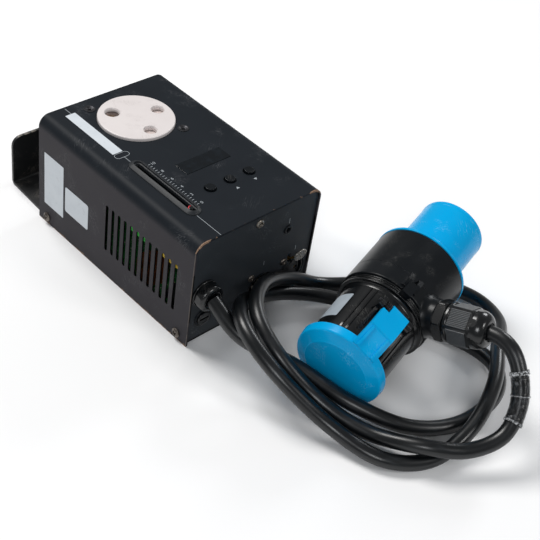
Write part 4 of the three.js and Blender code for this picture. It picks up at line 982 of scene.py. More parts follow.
def scale_marks(place, count, pitch, long, short, thick, low, x_end):
    """The fader's scale: a row of thin bars, every fourth one longer."""
    g = Grower("scale_marks", Count=count, Pitch=pitch, Long=long, Short=short, Thickness=thick,
               Finish=finish("ink"))
    value = g.inputs
    index = g.node("GeometryNodeInputIndex")
    fourth = g.math("LESS_THAN", g.math("MODULO", index, 4.0), 0.5)
    reach = value["Short"] + (value["Long"] - value["Short"]) * fourth
    line = g.row(value["Count"], g.vector(0.0, value["Pitch"]), (x_end, low, TOP + 0.01))
    line = g.node(
        "GeometryNodeSetPosition", {}, {"Geometry": line, "Offset": g.vector(reach * -0.5)}
    )
    bar = g.node("GeometryNodeMeshCube", {}, {"Size": (1, 1, 1)})
    return g.grown(
        g.copies(line, bar, scale=g.vector(reach, value["Thickness"], 0.04)), place
    )


def grip_ribs(place, sides, across, count, pitch, thick, length, middle):
    """Fine grip ribs along the flats of a gland nut: a row on each flat."""
    g = Grower("grip_ribs", Sides=sides, Count=count, Across=across, Pitch=pitch, Thickness=thick,
               Length=length, Finish=finish("gloss"))
    value = g.inputs
    span = (value["Count"] - 1) * value["Pitch"]
    start = g.vector(value["Across"], span * -0.5, middle)
    line = g.row(value["Count"], g.vector(0.0, value["Pitch"]), start)
    rib = g.node(
        "GeometryNodeMeshCylinder", {"fill_type": "NGON"},
        {"Vertices": 8, "Radius": value["Thickness"] * 0.5, "Depth": value["Length"]},
    )
    return g.grown(g.around(value["Sides"], g.copies(line, rib)), place)


def collar_teeth(place, count, radius, width, height, length, middle):
    """Short teeth round a ring, along the frame's Z."""
    g = Grower("collar_teeth", Count=count, Radius=radius, Width=width, Height=height,
               Length=length, Finish=finish("gloss"))
    value = g.inputs
    size = g.vector(value["Height"], value["Width"], value["Length"])
    tooth = g.node("GeometryNodeMeshCube", {}, {"Size": size})
    out = g.row(1, (0, 0, 0), g.vector(value["Radius"], 0.0, middle))
    return g.grown(g.around(value["Count"], g.copies(out, tooth)), place)


# The cord's line


def cord_line(per_span=12):
    """The smooth line through the cord's points, as points in metres."""
    points = [Vector(p) for p in CORD_POINTS]
    points = [points[0] * 2 - points[1]] + points + [points[-1] * 2 - points[-2]]
    line = []
    for i in range(1, len(points) - 2):
        a, b, c, d = points[i - 1:i + 3]
        gaps = [max((q - p).length ** 0.5, 1e-6) for p, q in ((a, b), (b, c), (c, d))]
        before = (b - a) / gaps[0] - (c - a) / (gaps[0] + gaps[1]) + (c - b) / gaps[1]
        after = (c - b) / gaps[1] - (d - b) / (gaps[1] + gaps[2]) + (d - c) / gaps[2]
        before *= gaps[1]
        after *= gaps[1]
        for k in range(per_span):
            t = k / per_span
            line.append(
                b + before * t + (c * 3 - b * 3 - before * 2 - after) * t ** 2
                + (b * 2 - c * 2 + before + after) * t ** 3
            )
    line.append(points[-2])
    return line


def line_length(line):
    return sum((b - a).length for a, b in zip(line, line[1:]))


def stretch(line, start, end, steps):
    """Evenly spaced points along part of a line, by distance from its start in metres."""
    lengths = [0.0]
    for a, b in zip(line, line[1:]):
        lengths.append(lengths[-1] + (b - a).length)
    result = []
    i = 0
    for k in range(steps + 1):
        want = start + (end - start) * k / steps
        while i < len(lengths) - 2 and lengths[i + 1] < want:
            i += 1
        share = (want - lengths[i]) / (lengths[i + 1] - lengths[i])
        result.append(line[i].lerp(line[i + 1], share))
    return result


# What a user can change


class DimmerPackCordSizes(bpy.types.PropertyGroup):
    """Sizes of the cord."""

    radius: FloatProperty(
        name="Cord radius", description="Half the cord's thickness", default=0.0049,
        min=0.003, max=0.006, unit="LENGTH",
    )
    sides: IntProperty(
        name="Cord sides", description="How finely the cord is made round", default=28,
        min=12, max=48,
    )


class DimmerPackScaleSizes(bpy.types.PropertyGroup):
    """Sizes of the marks beside the fader."""

    pitch: FloatProperty(
        name="Mark pitch", description="Distance between two marks, in millimetres",
        default=2.43, min=1.2, max=2.6,
    )
    count: IntProperty(name="Marks", description="Number of marks", default=21, min=11, max=41)
    number_size: FloatProperty(
        name="Number size", description="Size of the numbers, in millimetres", default=3.4,
        min=2.0, max=5.0,
    )


class DimmerPackStage(bpy.types.PropertyGroup):
    """The floor and the lights."""

    daylight: FloatProperty(
        name="Daylight", description="Strength of the even light from all round", default=0.24,
        min=0.0, max=3.0,
    )
    main_power: FloatProperty(
        name="Main light", description="Power of the large soft light", default=5.5,
        min=0.0, max=100.0, unit="POWER",
    )
    tint: FloatVectorProperty(
        name="Light colour", description="Colour of the large soft light",
        default=(1.0, 0.985, 0.965), subtype="COLOR", min=0.0, max=1.0,
    )


def cross(place, levels):
    """The two arms of a tapered recess, from (half length, half width, height) at each level."""
    return [
        loft(place @ Matrix.Rotation(turned, 4, "Z"), [
            [(-r, -w, h), (r, -w, h), (r, w, h), (-r, w, h)] for r, w, h in levels
        ])
        for turned in (0, math.pi / 2)
    ]


def screw_shape(place, x, y, head, edge, height, slot_long, slot_wide, slot_deep):
    """A domed screw head with a tapered cross recess."""
    profile = soften(
        [(0, -0.6), (head, -0.6), (head, height * 0.45, 0.25), (edge, height, 0.7), (0, height)], 0.2
    )
    there = place @ Matrix.Translation((x, y, 0)) @ Matrix.Rotation(0.5, 4, "Z")
    reach, half = slot_long / 2, slot_wide / 2
    arms = cross(there, (
        (reach * 0.6, half * 0.6, height - slot_deep), (reach, half, height + 0.4),
    ))
    return shaped(lathe(there, profile, 48), cuts=arms)


def flat_text(name, words, size, x, y):
    """Thin printed characters lying on the cover's top."""
    curve = bpy.data.curves.new(name, "FONT")
    curve.body = words
    curve.size = size
    curve.extrude = 0.012
    curve.align_x = "CENTER"
    curve.align_y = "CENTER"
    curve.resolution_u = 4
    holder = bpy.data.objects.new(name, curve)
    bpy.context.scene.collection.objects.link(holder)
    graph = bpy.context.evaluated_depsgraph_get()
    mesh = bpy.data.meshes.new_from_object(holder.evaluated_get(graph), depsgraph=graph)
    bpy.data.objects.remove(holder)
    bpy.data.curves.remove(curve)
    mesh.transform(FLAT @ Matrix.Translation((x, y, TOP + 0.015)))
    return piece(name, mesh, "ink")


class Builder(bpy.types.Operator):
    """Builds one group of pieces"""

    bl_options = {"REGISTER", "UNDO"}

    def execute(self, context):
        self.build(context)
        return {"FINISHED"}


# The camera, the floor and the light


class OBJECT_OT_dimmer_stage(Builder):
    """Sets the camera, the floor and the lights"""

    bl_idname = "object.dimmer_stage"
    bl_label = "Camera, floor and light"

    def build(self, context):
        scene = context.scene
        wanted = scene.dimmer_stage
        data = bpy.data.cameras.new("camera")
        data.lens = 76.0
        data.sensor_width = 36.0
        data.sensor_fit = "HORIZONTAL"
        data.clip_start = 0.01
        camera = bpy.data.objects.new("camera", data)
        right = Vector((0.7262, -0.6758, 0.1262)).normalized()
        ahead = Vector((0.5759, 0.4977, -0.6484)).normalized()
        right = (right - ahead * right.dot(ahead)).normalized()
        up = right.cross(ahead)
        camera.matrix_world = Matrix((right, up, -ahead)).transposed().to_4x4()
        camera.location = (-0.41592, -0.45422, 0.5171)
        scene.collection.objects.link(camera)
        scene.camera = camera

        floor = lathe(FLAT, [(0, -2.2), (2600, -2.2), (2600, -0.05), (0, -0.05)], 64)
        ground = object_of(floor, "floor")
        ground.data.materials.append(finish("floor"))

        world = bpy.data.worlds.new("daylight")
        world.use_nodes = True
        around = world.node_tree.nodes["Background"]
        around.inputs["Color"].default_value = (0.97, 0.985, 1.0, 1.0)
        around.inputs["Strength"].default_value = wanted.daylight
        scene.world = world
        scene.view_settings.view_transform = "Standard"

        lights = (
            ("main", (-0.15, 0.75, 1.25), 0.7, wanted.main_power * 3.1, wanted.tint),
            ("left", (-1.0, -0.85, 1.0), 0.45, wanted.main_power * 1.0, (0.96, 0.98, 1.0)),
            ("front", (0.45, -1.25, 0.95), 0.4, wanted.main_power * 0.9, (1.0, 0.99, 0.98)),
            ("right", (1.3, 0.1, 0.8), 0.4, wanted.main_power * 0.8, (0.96, 0.98, 1.0)),
        )
        for name, place, size, power, tint in lights:
            lamp = bpy.data.lights.new(name, "AREA")
            lamp.shape = "DISK"
            lamp.size = size
            lamp.energy = power
            lamp.color = tint
            holder = bpy.data.objects.new(name, lamp)
            holder.location = place
            toward = Vector((0.03, -0.08, 0.03)) - Vector(place)
            holder.rotation_euler = toward.to_track_quat("-Z", "Y").to_euler()
            scene.collection.objects.link(holder)


# The cord


class OBJECT_OT_dimmer_cord(Builder):
    """Makes the cord with its wrap and clear film"""

    bl_idname = "object.dimmer_cord"
    bl_label = "Cord"

    def build(self, context):
        wanted = context.scene.dimmer_cord
        line = cord_line()
        whole = line_length(line)
        even = stretch(line, 0.0, whole, 420)
        cord = piece(
            "cord", sweep(even, lambda i: wanted.radius, wanted.sides), "jacket",
            replaces="power_cord", angle=50,
        )
        first, last = (whole * share for share in SLEEVE)
        steps = 72
        middle = stretch(line, first + 0.0015, last - 0.0035, steps)

        def wrapped(i):
            return 0.00545 + 0.00008 * math.sin(i * 1.7) + 0.00006 * math.sin(i * 0.61)

        wrap = piece(
            "cord_wrap", sweep(middle, wrapped, 32, 0.00495), "gloss", replaces="cord_sleeve",
            angle=50,
        )
        film_line = stretch(line, first, last, steps)

        def ruffled(i):
            ends = 0.0 if 6 < i < steps - 9 else 0.00022
            ring = 0.0002 if 34 <= i <= 37 else 0.0
            ruffle = ends * (1 + math.sin(i * 2.4)) * 0.6
            return 0.0058 + ring + ruffle + 0.00004 * math.sin(i * 1.3)

        film = piece(
            "cord_film", sweep(film_line, ruffled, 32, 0.00566), "film", replaces="cord_sleeve",
            angle=60,
        )
        bands = []
        for start, end in ((0.0, 0.0016), (0.0168, 0.0176), (-0.0024, 0.0)):
            at = last if start < 0 else first
            bands.append(sweep(
                stretch(line, at + start, at + end, 6),
                lambda i: 0.00612 + 0.00008 * math.sin(i * 2.1), 32, 0.00585,
            ))
        edges = piece("cord_film_bands", together(*bands), "film_edge")
        declared["cord"] = dict(
            obj=cord, exit=CORD_POINTS[0], length=round(whole, 4), diameter=wanted.radius * 2,
            path=even, pieces=[wrap, film, edges],
        )


def declare_cord():
    """Looks up the cord's facts and the pieces on it, once everything on it is made, but passes them
    nowhere.
    """
    cord = declared["cord"]
    cord["pieces"] + on_the_tap


# The box


class OBJECT_OT_dimmer_cover(Builder):
    """Makes the folded cover with its slots and cut-outs"""

    bl_idname = "object.dimmer_cover"
    bl_label = "Cover"

    def build(self, context):
        def fold(half, top, bend):
            return (
                [(-half, 0)] + arc(-half + bend, top - bend, bend, 180, 90, 18)
                + arc(half - bend, top - bend, bend, 90, 0, 18) + [(half, 0)]
            )

        outline = fold(HALF_WIDTH, TOP, 8) + fold(HALF_WIDTH - SHEET, TOP - SHEET, 6.5)[::-1]
        sheet = prism(THROUGH, outline, -HALF_LENGTH, HALF_LENGTH)
        cuts = [
            slot_row(
                place @ Matrix.Translation((0, 0, -inwards)), 12, side * SLOT_PITCH, width, height,
                8.0, side * -4.7, 39.95,
            )
            for width, height, inwards in ((2.8, 37.3, 0), (4.2, 38.7, 4.6))
            for place, side in ((LEFT, 1), (RIGHT, -1))
        ]
        cuts += [
            rod(FLAT, *OUTLET, 26.7, 80, 86, 128),
            prism(FLAT, stadium(FADER_X, -57, 6.1, 4), 80, 86),
            prism(FLAT, rounded_box(-12.25, 25.25, -23.2, -10.6, 0.6), 80, 86),
        ]
        cuts += [rod(FLAT, x, y, 3.4, 80, 86, 48) for x, y in OUTLET_EARS]
        cuts += [rod(FLAT, x, BUTTONS_Y, 4.25, 80, 86, 48) for x in BUTTONS_X]
        cover = shaped(sheet, cuts=cuts)
        tab = brick(FLAT, -7, 7, -78.45, -76.25, 73.2, 82.6)
        piece("cover", together(cover, tab), "box", replaces="top_cover", bevel=0.22, angle=30)


class OBJECT_OT_dimmer_chassis(Builder):
    """Makes the chassis panels and the hanging bracket"""

    bl_idname = "object.dimmer_chassis"
    bl_label = "Chassis and bracket"

    def build(self, context):
        half = CHASSIS_HALF
        panel = (
            [(-half, 2)] + arc(-45.5, 76, 6.4, 180, 90, 14) + arc(45.5, 76, 6.4, 90, 0, 14)
            + [(half, 2)]
        )
        cuts = [rod(FRONT, x, SOCKETS_Z, 11.6, -4, 4, 96) for x in (SOCKET_OUT_X, SOCKET_IN_X)]
        cuts += [
            rod(FRONT, *at, radius, -4, 4, 48)
            for at, radius in ((JACK, 3.6), (FUSE, 6.1), (GLAND, 7.9))
        ]
        cuts.append(brick(FRONT, *LATCH_SLOT, 29.5, 36.0, -4, 4))
        front = shaped(prism(FRONT, panel, -SHEET, 0), cuts=cuts)
        rear = prism(THROUGH, panel, PANEL, PANEL + SHEET)
        floor = brick(FLAT, -half, half, PANEL, -PANEL, 2, 3.5)
        lips = [
            brick(FLAT, low, low + SHEET, -79, 79, 2, 12) for low in (-half, half - SHEET)
        ]
        piece(
            "chassis_folded", together(front, rear, floor, *lips), "panel", replaces="chassis",
            bevel=0.2, angle=30,
        )
        piece(
            "bracket", cad_copy("hanging_bracket"), "bracket", replaces="hanging_bracket",
            bevel=0.35, angle=40,
        )


class OBJECT_OT_dimmer_screws(Builder):
    """Makes the panel screws with their cross recesses"""

    bl_idname = "object.dimmer_screws"
    bl_label = "Screws"

    def build(self, context):
        side = dict(head=3.4, edge=1.9, height=1.9, slot_long=4.3, slot_wide=1.15, slot_deep=1.3)
        small = dict(head=2.6, edge=2.0, height=1.2, slot_long=3.4, slot_wide=0.95, slot_deep=0.9)
        for name, place, x, y, sizes in (
            ("cover_screw_left_front", LEFT, 71.3, 5.4, side),
            ("cover_screw_left_rear", LEFT, -71.3, 5.4, side),
            ("cover_screw_right_front", RIGHT, -71.3, 5.4, side),
            ("cover_screw_right_rear", RIGHT, 71.3, 5.4, side),
            ("front_screw", FRONT, 0, 76.8, {**side, "head": 3.1, "height": 1.6}),
            ("xlr_out_screw_upper", FRONT, SOCKET_OUT_X - 9.5, SOCKETS_Z + 12, small),
            ("xlr_out_screw_lower", FRONT, SOCKET_OUT_X + 9.5, SOCKETS_Z - 12, small),
            ("xlr_in_screw_upper", FRONT, SOCKET_IN_X - 9.5, SOCKETS_Z + 12, small),
            ("xlr_in_screw_lower", FRONT, SOCKET_IN_X + 9.5, SOCKETS_Z - 12, small),
        ):
            piece(
                name + "_head", screw_shape(place, x, y, **sizes),
                "nickel" if name == "front_screw" else "old_steel", replaces=name, angle=40,
            )


class OBJECT_OT_dimmer_outlet(Builder):
    """Makes the round outlet with its screws"""

    bl_idname = "object.dimmer_outlet"
    bl_label = "Outlet"

    def build(self, context):
        top = TOP + 1.9
        disc = lathe(FLAT, [
            (0, 58.3), (25, 58.3), (25, 79.5), (29, 79.5), (29, 82.5), (26.4, 82.5),
            (26.4, top, 1.0), (0, top),
        ], 160, OUTLET)
        cuts = [rod(FLAT, *OUTLET, 23.4, 56, 82.9, 96)]
        for hole in (EARTH_HOLE, *POWER_HOLES):
            radius, mouth = (4.75, 5.5) if hole == EARTH_HOLE else (4.2, 4.8)
            cuts.append(lathe(FLAT, [
                (0, 60), (radius, 60), (radius, top - 1.1, 0.5), (mouth, top, 0.3),
                (mouth + 0.5, top + 1), (0, top + 1),
            ], 64, outlet_point(*hole)))
        disc = shaped(disc, cuts=cuts)
        ears = [rod(FLAT, x, y, 4.6, 79.5, 82.5, 40) for x, y in OUTLET_EARS]
        piece("outlet_moulding", together(disc, *ears), "white", replaces="outlet_body", angle=32)
        for number, (x, y) in enumerate(OUTLET_EARS, 1):
            head = lathe(FLAT, [
                (0, 78), (1.5, 78), (1.5, 82.6), (3.3, 82.6), (3.3, 84.05), (3.9, 84.05),
                (3.9, 84.5, 0.25), (3.1, 84.5, 0.3), (1.7, 83.6, 0.3), (0, 83.5),
            ], 48, (x, y))
            middle = FLAT @ Matrix.Translation((x, y, 0)) @ Matrix.Rotation(0.4, 4, "Z")
            arms = cross(middle, ((0.9, 0.4, 82.8), (1.5, 0.4, 84.2)))
            piece(
                f"outlet_screw_{number}_head", shaped(head, cuts=arms), "dark_steel",
                replaces=f"outlet_screw_{number}",
            )


class OBJECT_OT_dimmer_controls(Builder):
    """Makes the fader, the display and the buttons"""

    bl_idname = "object.dimmer_controls"
    bl_label = "Fader, display and buttons"

    def build(self, context):
        section = soften([
            (5.85, 84.0, 0), (5.7, 84.55, 0.25), (3.3, 85.85, 0.5), (2.75, 86.0, 0.12),
            (2.6, 84.95, 0.15), (2.3, 84.75, 0.15), (1.75, 84.65, 0.15), (1.75, 82.5, 0),
            (3.7, 82.5, 0), (3.7, 84.0, 0),
        ], 0.2, closed=True, steps=3)
        loops = []
        for half, z in section:
            share = (5.85 - half) / 4.1
            around = stadium(FADER_X, -58.5 + share * 3.3, 7.6 - share * 4.6, half)
            loops.append([(x, y, z) for x, y in around])
        piece("bezel", loft(FLAT, loops, closed=True), "bezel", replaces="fader_bezel", angle=44)
        x, y = FADER_X, FADER_REST
        stub = lathe(FLAT, [
            (0, 81), (1.55, 81), (1.55, 84.4, 0.1), (1.4, 84.5, 0.05), (1.4, 84.7, 0.05),
            (1.55, 84.8, 0.1), (1.55, 85.2, 0.5), (0, 85.25),
        ], 48, (x, y))
        foot = brick(FLAT, x - 1.7, x + 1.7, y - 1.7, y + 1.7, 75, 81.5)
        piece("lever", together(stub, foot), "gloss", body="fader", replaces="fader_lever")
        mark = arc(x, y, 1.95, 60, 175, 10) + arc(x, y, 1.5, 175, 60, 10)
        piece("lever_mark", prism(FLAT, mark, 82.0, 85.2), "red", body="fader", bevel=0.06)
        window = prism(FLAT, rounded_box(-12.15, 25.15, -23.1, -10.7, 0.5), 82.65, 84.25)
        piece("window", window, "glass", replaces="display_window", bevel=0.18)
        cap = [
            (0, 76.3), (1.6, 76.3), (1.6, 80.6), (4.9, 80.6), (4.9, 82.2), (3.5, 82.2),
            (3.5, 85.5, 0.6), (2.5, 85.42, 0.4), (0, 85.3),
        ]
        for number, x in enumerate(BUTTONS_X, 1):
            piece(
                f"button_cap_{number}", lathe(FLAT, cap, 56, (x, BUTTONS_Y)), "black",
                body=f"button_{number}", replaces=f"button_{number}",
            )


class OBJECT_OT_dimmer_marks(Builder):
    """Makes the printed scale, its numbers, the arrows and the plain labels"""

    bl_idname = "object.dimmer_marks"
    bl_label = "Printed marks and labels"

    def build(self, context):
        wanted = context.scene.dimmer_scale
        low = -25.7 - wanted.pitch * (wanted.count - 1) / 2
        marks = scale_marks(FLAT, wanted.count, wanted.pitch, 2.4, 2.1, 0.36, low, -25.0)
        piece("scale_marks", marks, "ink")
        for step, number in enumerate((0, 2, 4, 6, 8, 10)):
            flat_text(
                f"scale_number_{number}", str(number), wanted.number_size, -22.9,
                low - 0.2 + step * wanted.pitch * 4,
            )
        under, over = (TOP + height for height in INK)
        lines = [
            brick(FLAT, -34.16, -33.84, y0, y1, under, over)
            for y0, y1 in ((71.3, 79.3), (7.6, 13.9), (-81.0, -58.6))
        ]
        ring = loft(FLAT, [
            [(x, y, z) for x, y in rounded_box(-39.5 + i, -28.5 - i, 14.0 + i, 19.2 - i, 2.5 - i, 8)]
            for i, z in ((0, under), (0, over), (0.3, over), (0.3, under))
        ], closed=True)
        piece("printed_lines", together(*lines, ring), "ink")
        arrows = [
            prism(FLAT, [(x - 1.3, y - up), (x + 1.3, y - up), (x, y + up)], under, over)
            for x, y, up in ((6.1, -51.1, 1), (22.4, -50.7, -1))
        ]
        piece("printed_arrows", together(*arrows), "ink")
        leaders = [
            brick(FRONT, x - 0.16, x + 0.16, z0, z1, *INK)
            for x, z0, z1 in ((28, 64.5, 68.6), (38.4, 37.5, 41.1), (9.7, 37.7, 41.2))
        ]
        piece("panel_lines", together(*leaders), "ink")
        for name, place, outline in (
            ("label_top", FLAT @ Matrix.Translation((0, 0, TOP)),
             rounded_box(-38.9, -31.0, 19.8, 72.0, 0.4)),
            ("label_tall", LEFT, rounded_box(-74.6, -52.7, 16.5, 59.1, 0.5)),
            ("label_small", LEFT, rounded_box(-50.5, -24.7, 24.5, 45.0, 1.6)),
        ):
            piece(name, prism(place, outline, -0.02, 0.13), "label", bevel=0.04)


class OBJECT_OT_dimmer_sockets(Builder):
    """Makes the control sockets, the jack, the fuse and the cord gland"""

    bl_idname = "object.dimmer_sockets"
    bl_label = "Sockets, fuse and gland"

    def build(self, context):
        z = SOCKETS_Z
        flanges = [
            shaped(
                brick(FRONT, x - 12.2, x + 12.2, z - 14.5, z + 14.5, -4.0, -1.52),
                cuts=[rod(FRONT, x, z, 11.1, -6, 0, 64),
                      brick(FRONT, *LATCH_SLOT, 30.9, 36, -6, 0)],
            )
            for x in (SOCKET_OUT_X, SOCKET_IN_X)
        ]
        x = SOCKET_OUT_X
        places = [(x - 4.9, z), (x + 4.9, z), (x, z - 4.9)]
        barrel = lathe(FRONT, [
            (0, -21.5), (11.2, -21.5), (11.2, -0.3, 0.5), (9.3, -0.3, 0.5), (9.3, -13),
            (8, -13), (8, -1.0, 0.5), (6.9, -1.0, 0.1), (6.8, -1.25, 0.1), (0, -1.25),
        ], 96, (x, z))
        holes = [rod(FRONT, *place, 1.5, -9, 2, 40) for place in places]
        holes.append(brick(FRONT, x - 1.2, x + 1.2, z + 5.4, z + 8.4, -6, 2))
        holes.append(brick(FRONT, x - 4.5, x - 1.5, z + 8.9, z + 12, -6, 2))
        piece(
            "output_socket", together(shaped(barrel, cuts=holes), flanges[0]), "black",
            replaces="xlr_out_body", bevel=0.12,
        )
        tube = [(0.85, -8.9), (1.42, -8.9), (1.42, -2.2), (0.85, -2.2), (0.85, -8.9)]
        contacts = [lathe(FRONT, tube, 32, place) for place in places]
        piece("output_socket_contacts", together(*contacts), "brass")
        x = SOCKET_IN_X
        barrel = lathe(FRONT, [
            (0, -21.5), (11.2, -21.5), (11.2, -0.3, 0.5), (9.2, -0.3, 0.5), (9.2, -13), (0, -13),
        ], 96, (x, z))
        key = brick(FRONT, x - 1.0, x + 1.0, z - 9.3, z - 8.2, -12, -1.2)
        piece("input_socket", together(barrel, key, flanges[1]), "black", replaces="xlr_in_body")
        disc = lathe(FRONT, [(0, -13), (8.9, -13), (8.9, -11, 0.4), (0, -11)], 72, (x, z))
        piece("input_socket_disc", disc, "black", replaces="xlr_in_pins")
        pin = [(0, -11.5), (1.2, -11.5), (1.2, -1.5, 1.0), (0, -1.5)]
        pins = [
            lathe(FRONT, pin, 32, place) for place in ((x + 4.4, z), (x - 4.4, z), (x, z + 4.4))
        ]
        piece("input_socket_pins", together(*pins), "nickel", replaces="xlr_in_pins")

        lean = (
            FRONT @ Matrix.Translation((38, 36.8, 5.4))
            @ Matrix.Rotation(math.radians(5), 4, "X") @ Matrix.Diagonal((5.5, 4.5, 1, 1))
        )
        paddle = lathe(lean, [
            (0, -0.6), (1, -0.6, 0.12), (1, 0.6, 0.12), (0.9, 0.6, 0.05), (0, 0.42),
        ], 72)
        stem = prism(
            axes((0, 1, 0), (0, 0, 1), (1, 0, 0)),
            [(-76.25, 31.3), (-80.65, 31.3), (-85.7, 36.4), (-85.0, 37.2), (-80.4, 32.7),
             (-76.25, 32.7)], 32.8, 34.4,
        )
        piece("release_tab", paddle, "chrome", body="latch", replaces="xlr_latch")
        piece(
            "release_strip", stem, "brass", body="latch", replaces="xlr_latch", slot="nickel",
            bevel=0.12,
        )

        jack = lathe(FRONT, [
            (1.9, -9.5), (3.45, -9.5), (3.45, 0.7, 0.35), (1.9, 0.7, 0.4), (1.9, -9.5),
        ], 64, JACK)
        behind = shaped(
            brick(FRONT, 21.5, 33.5, 54.5, 64.5, -13.5, -1.55),
            cuts=[rod(FRONT, *JACK, 3.3, -10, 0, 32)],
        )
        piece("jack_socket", together(jack, behind), "black", replaces="remote_jack")

        holder = lathe(FRONT, [
            (0, -30.25), (5.9, -30.25), (5.9, 0), (6.9, 0, 0.1), (6.9, 0.9, 0.5), (5.3, 0.9, 0.2),
            (5.3, -7.2), (2.8, -7.2), (2.8, -27.5), (0, -27.5),
        ], 80, FUSE)
        piece("fuse_socket", holder, "black", replaces="fuse_holder")
        cap = lathe(FRONT, [
            (0, -6), (5, -6), (5, 2, 0.7), (3.4, 2, 0.1), (3.3, 1.85, 0.1), (0, 1.85),
        ], 72, FUSE)
        x, z = FUSE
        slot = brick(FRONT, x - 3.6, x + 3.6, z - 0.7, z + 0.7, 0.8, 4)
        piece(
            "fuse_cap_slotted", shaped(cap, cuts=[slot]), "gloss", body="fuse_cap",
            replaces="fuse_cap", slot="black_plastic", bevel=0.1,
        )

        base = lathe(FRONT, [
            (0, -7.25), (7.8, -7.25), (7.8, 0), (9.9, 0, 0.15), (9.9, 1.6, 0.7), (0, 1.6),
        ], 96, GLAND)
        piece("gland_base", base, "gloss", replaces="cord_gland_body")
        nut = lathe(FRONT, [
            (0, 2.05), (9.7, 2.05, 0.5), (9.7, 5.65, 1.3), (9.1, 7.95, 1.2), (7.3, 9.15, 1.0),
            (5.9, 9.15, 0.6), (5.9, 6.4), (0, 6.4),
        ], 112, GLAND, steps=5)
        flats = prism(FRONT @ Matrix.Translation((*GLAND, 0)), polygon(8, 9.35, 12), 0, 12)
        piece(
            "gland_nut", shaped(nut, within=[flats]), "gloss", replaces="cord_gland_nut",
            bevel=0.15, angle=24,
        )
        seal = lathe(FRONT, [
            (4.95, 6.5), (5.85, 6.5), (5.85, 8.6, 0.4), (4.95, 8.6, 0.3), (4.95, 6.5),
        ], 72, GLAND)
        piece("gland_seal", seal, "black")


# The through-tap connector


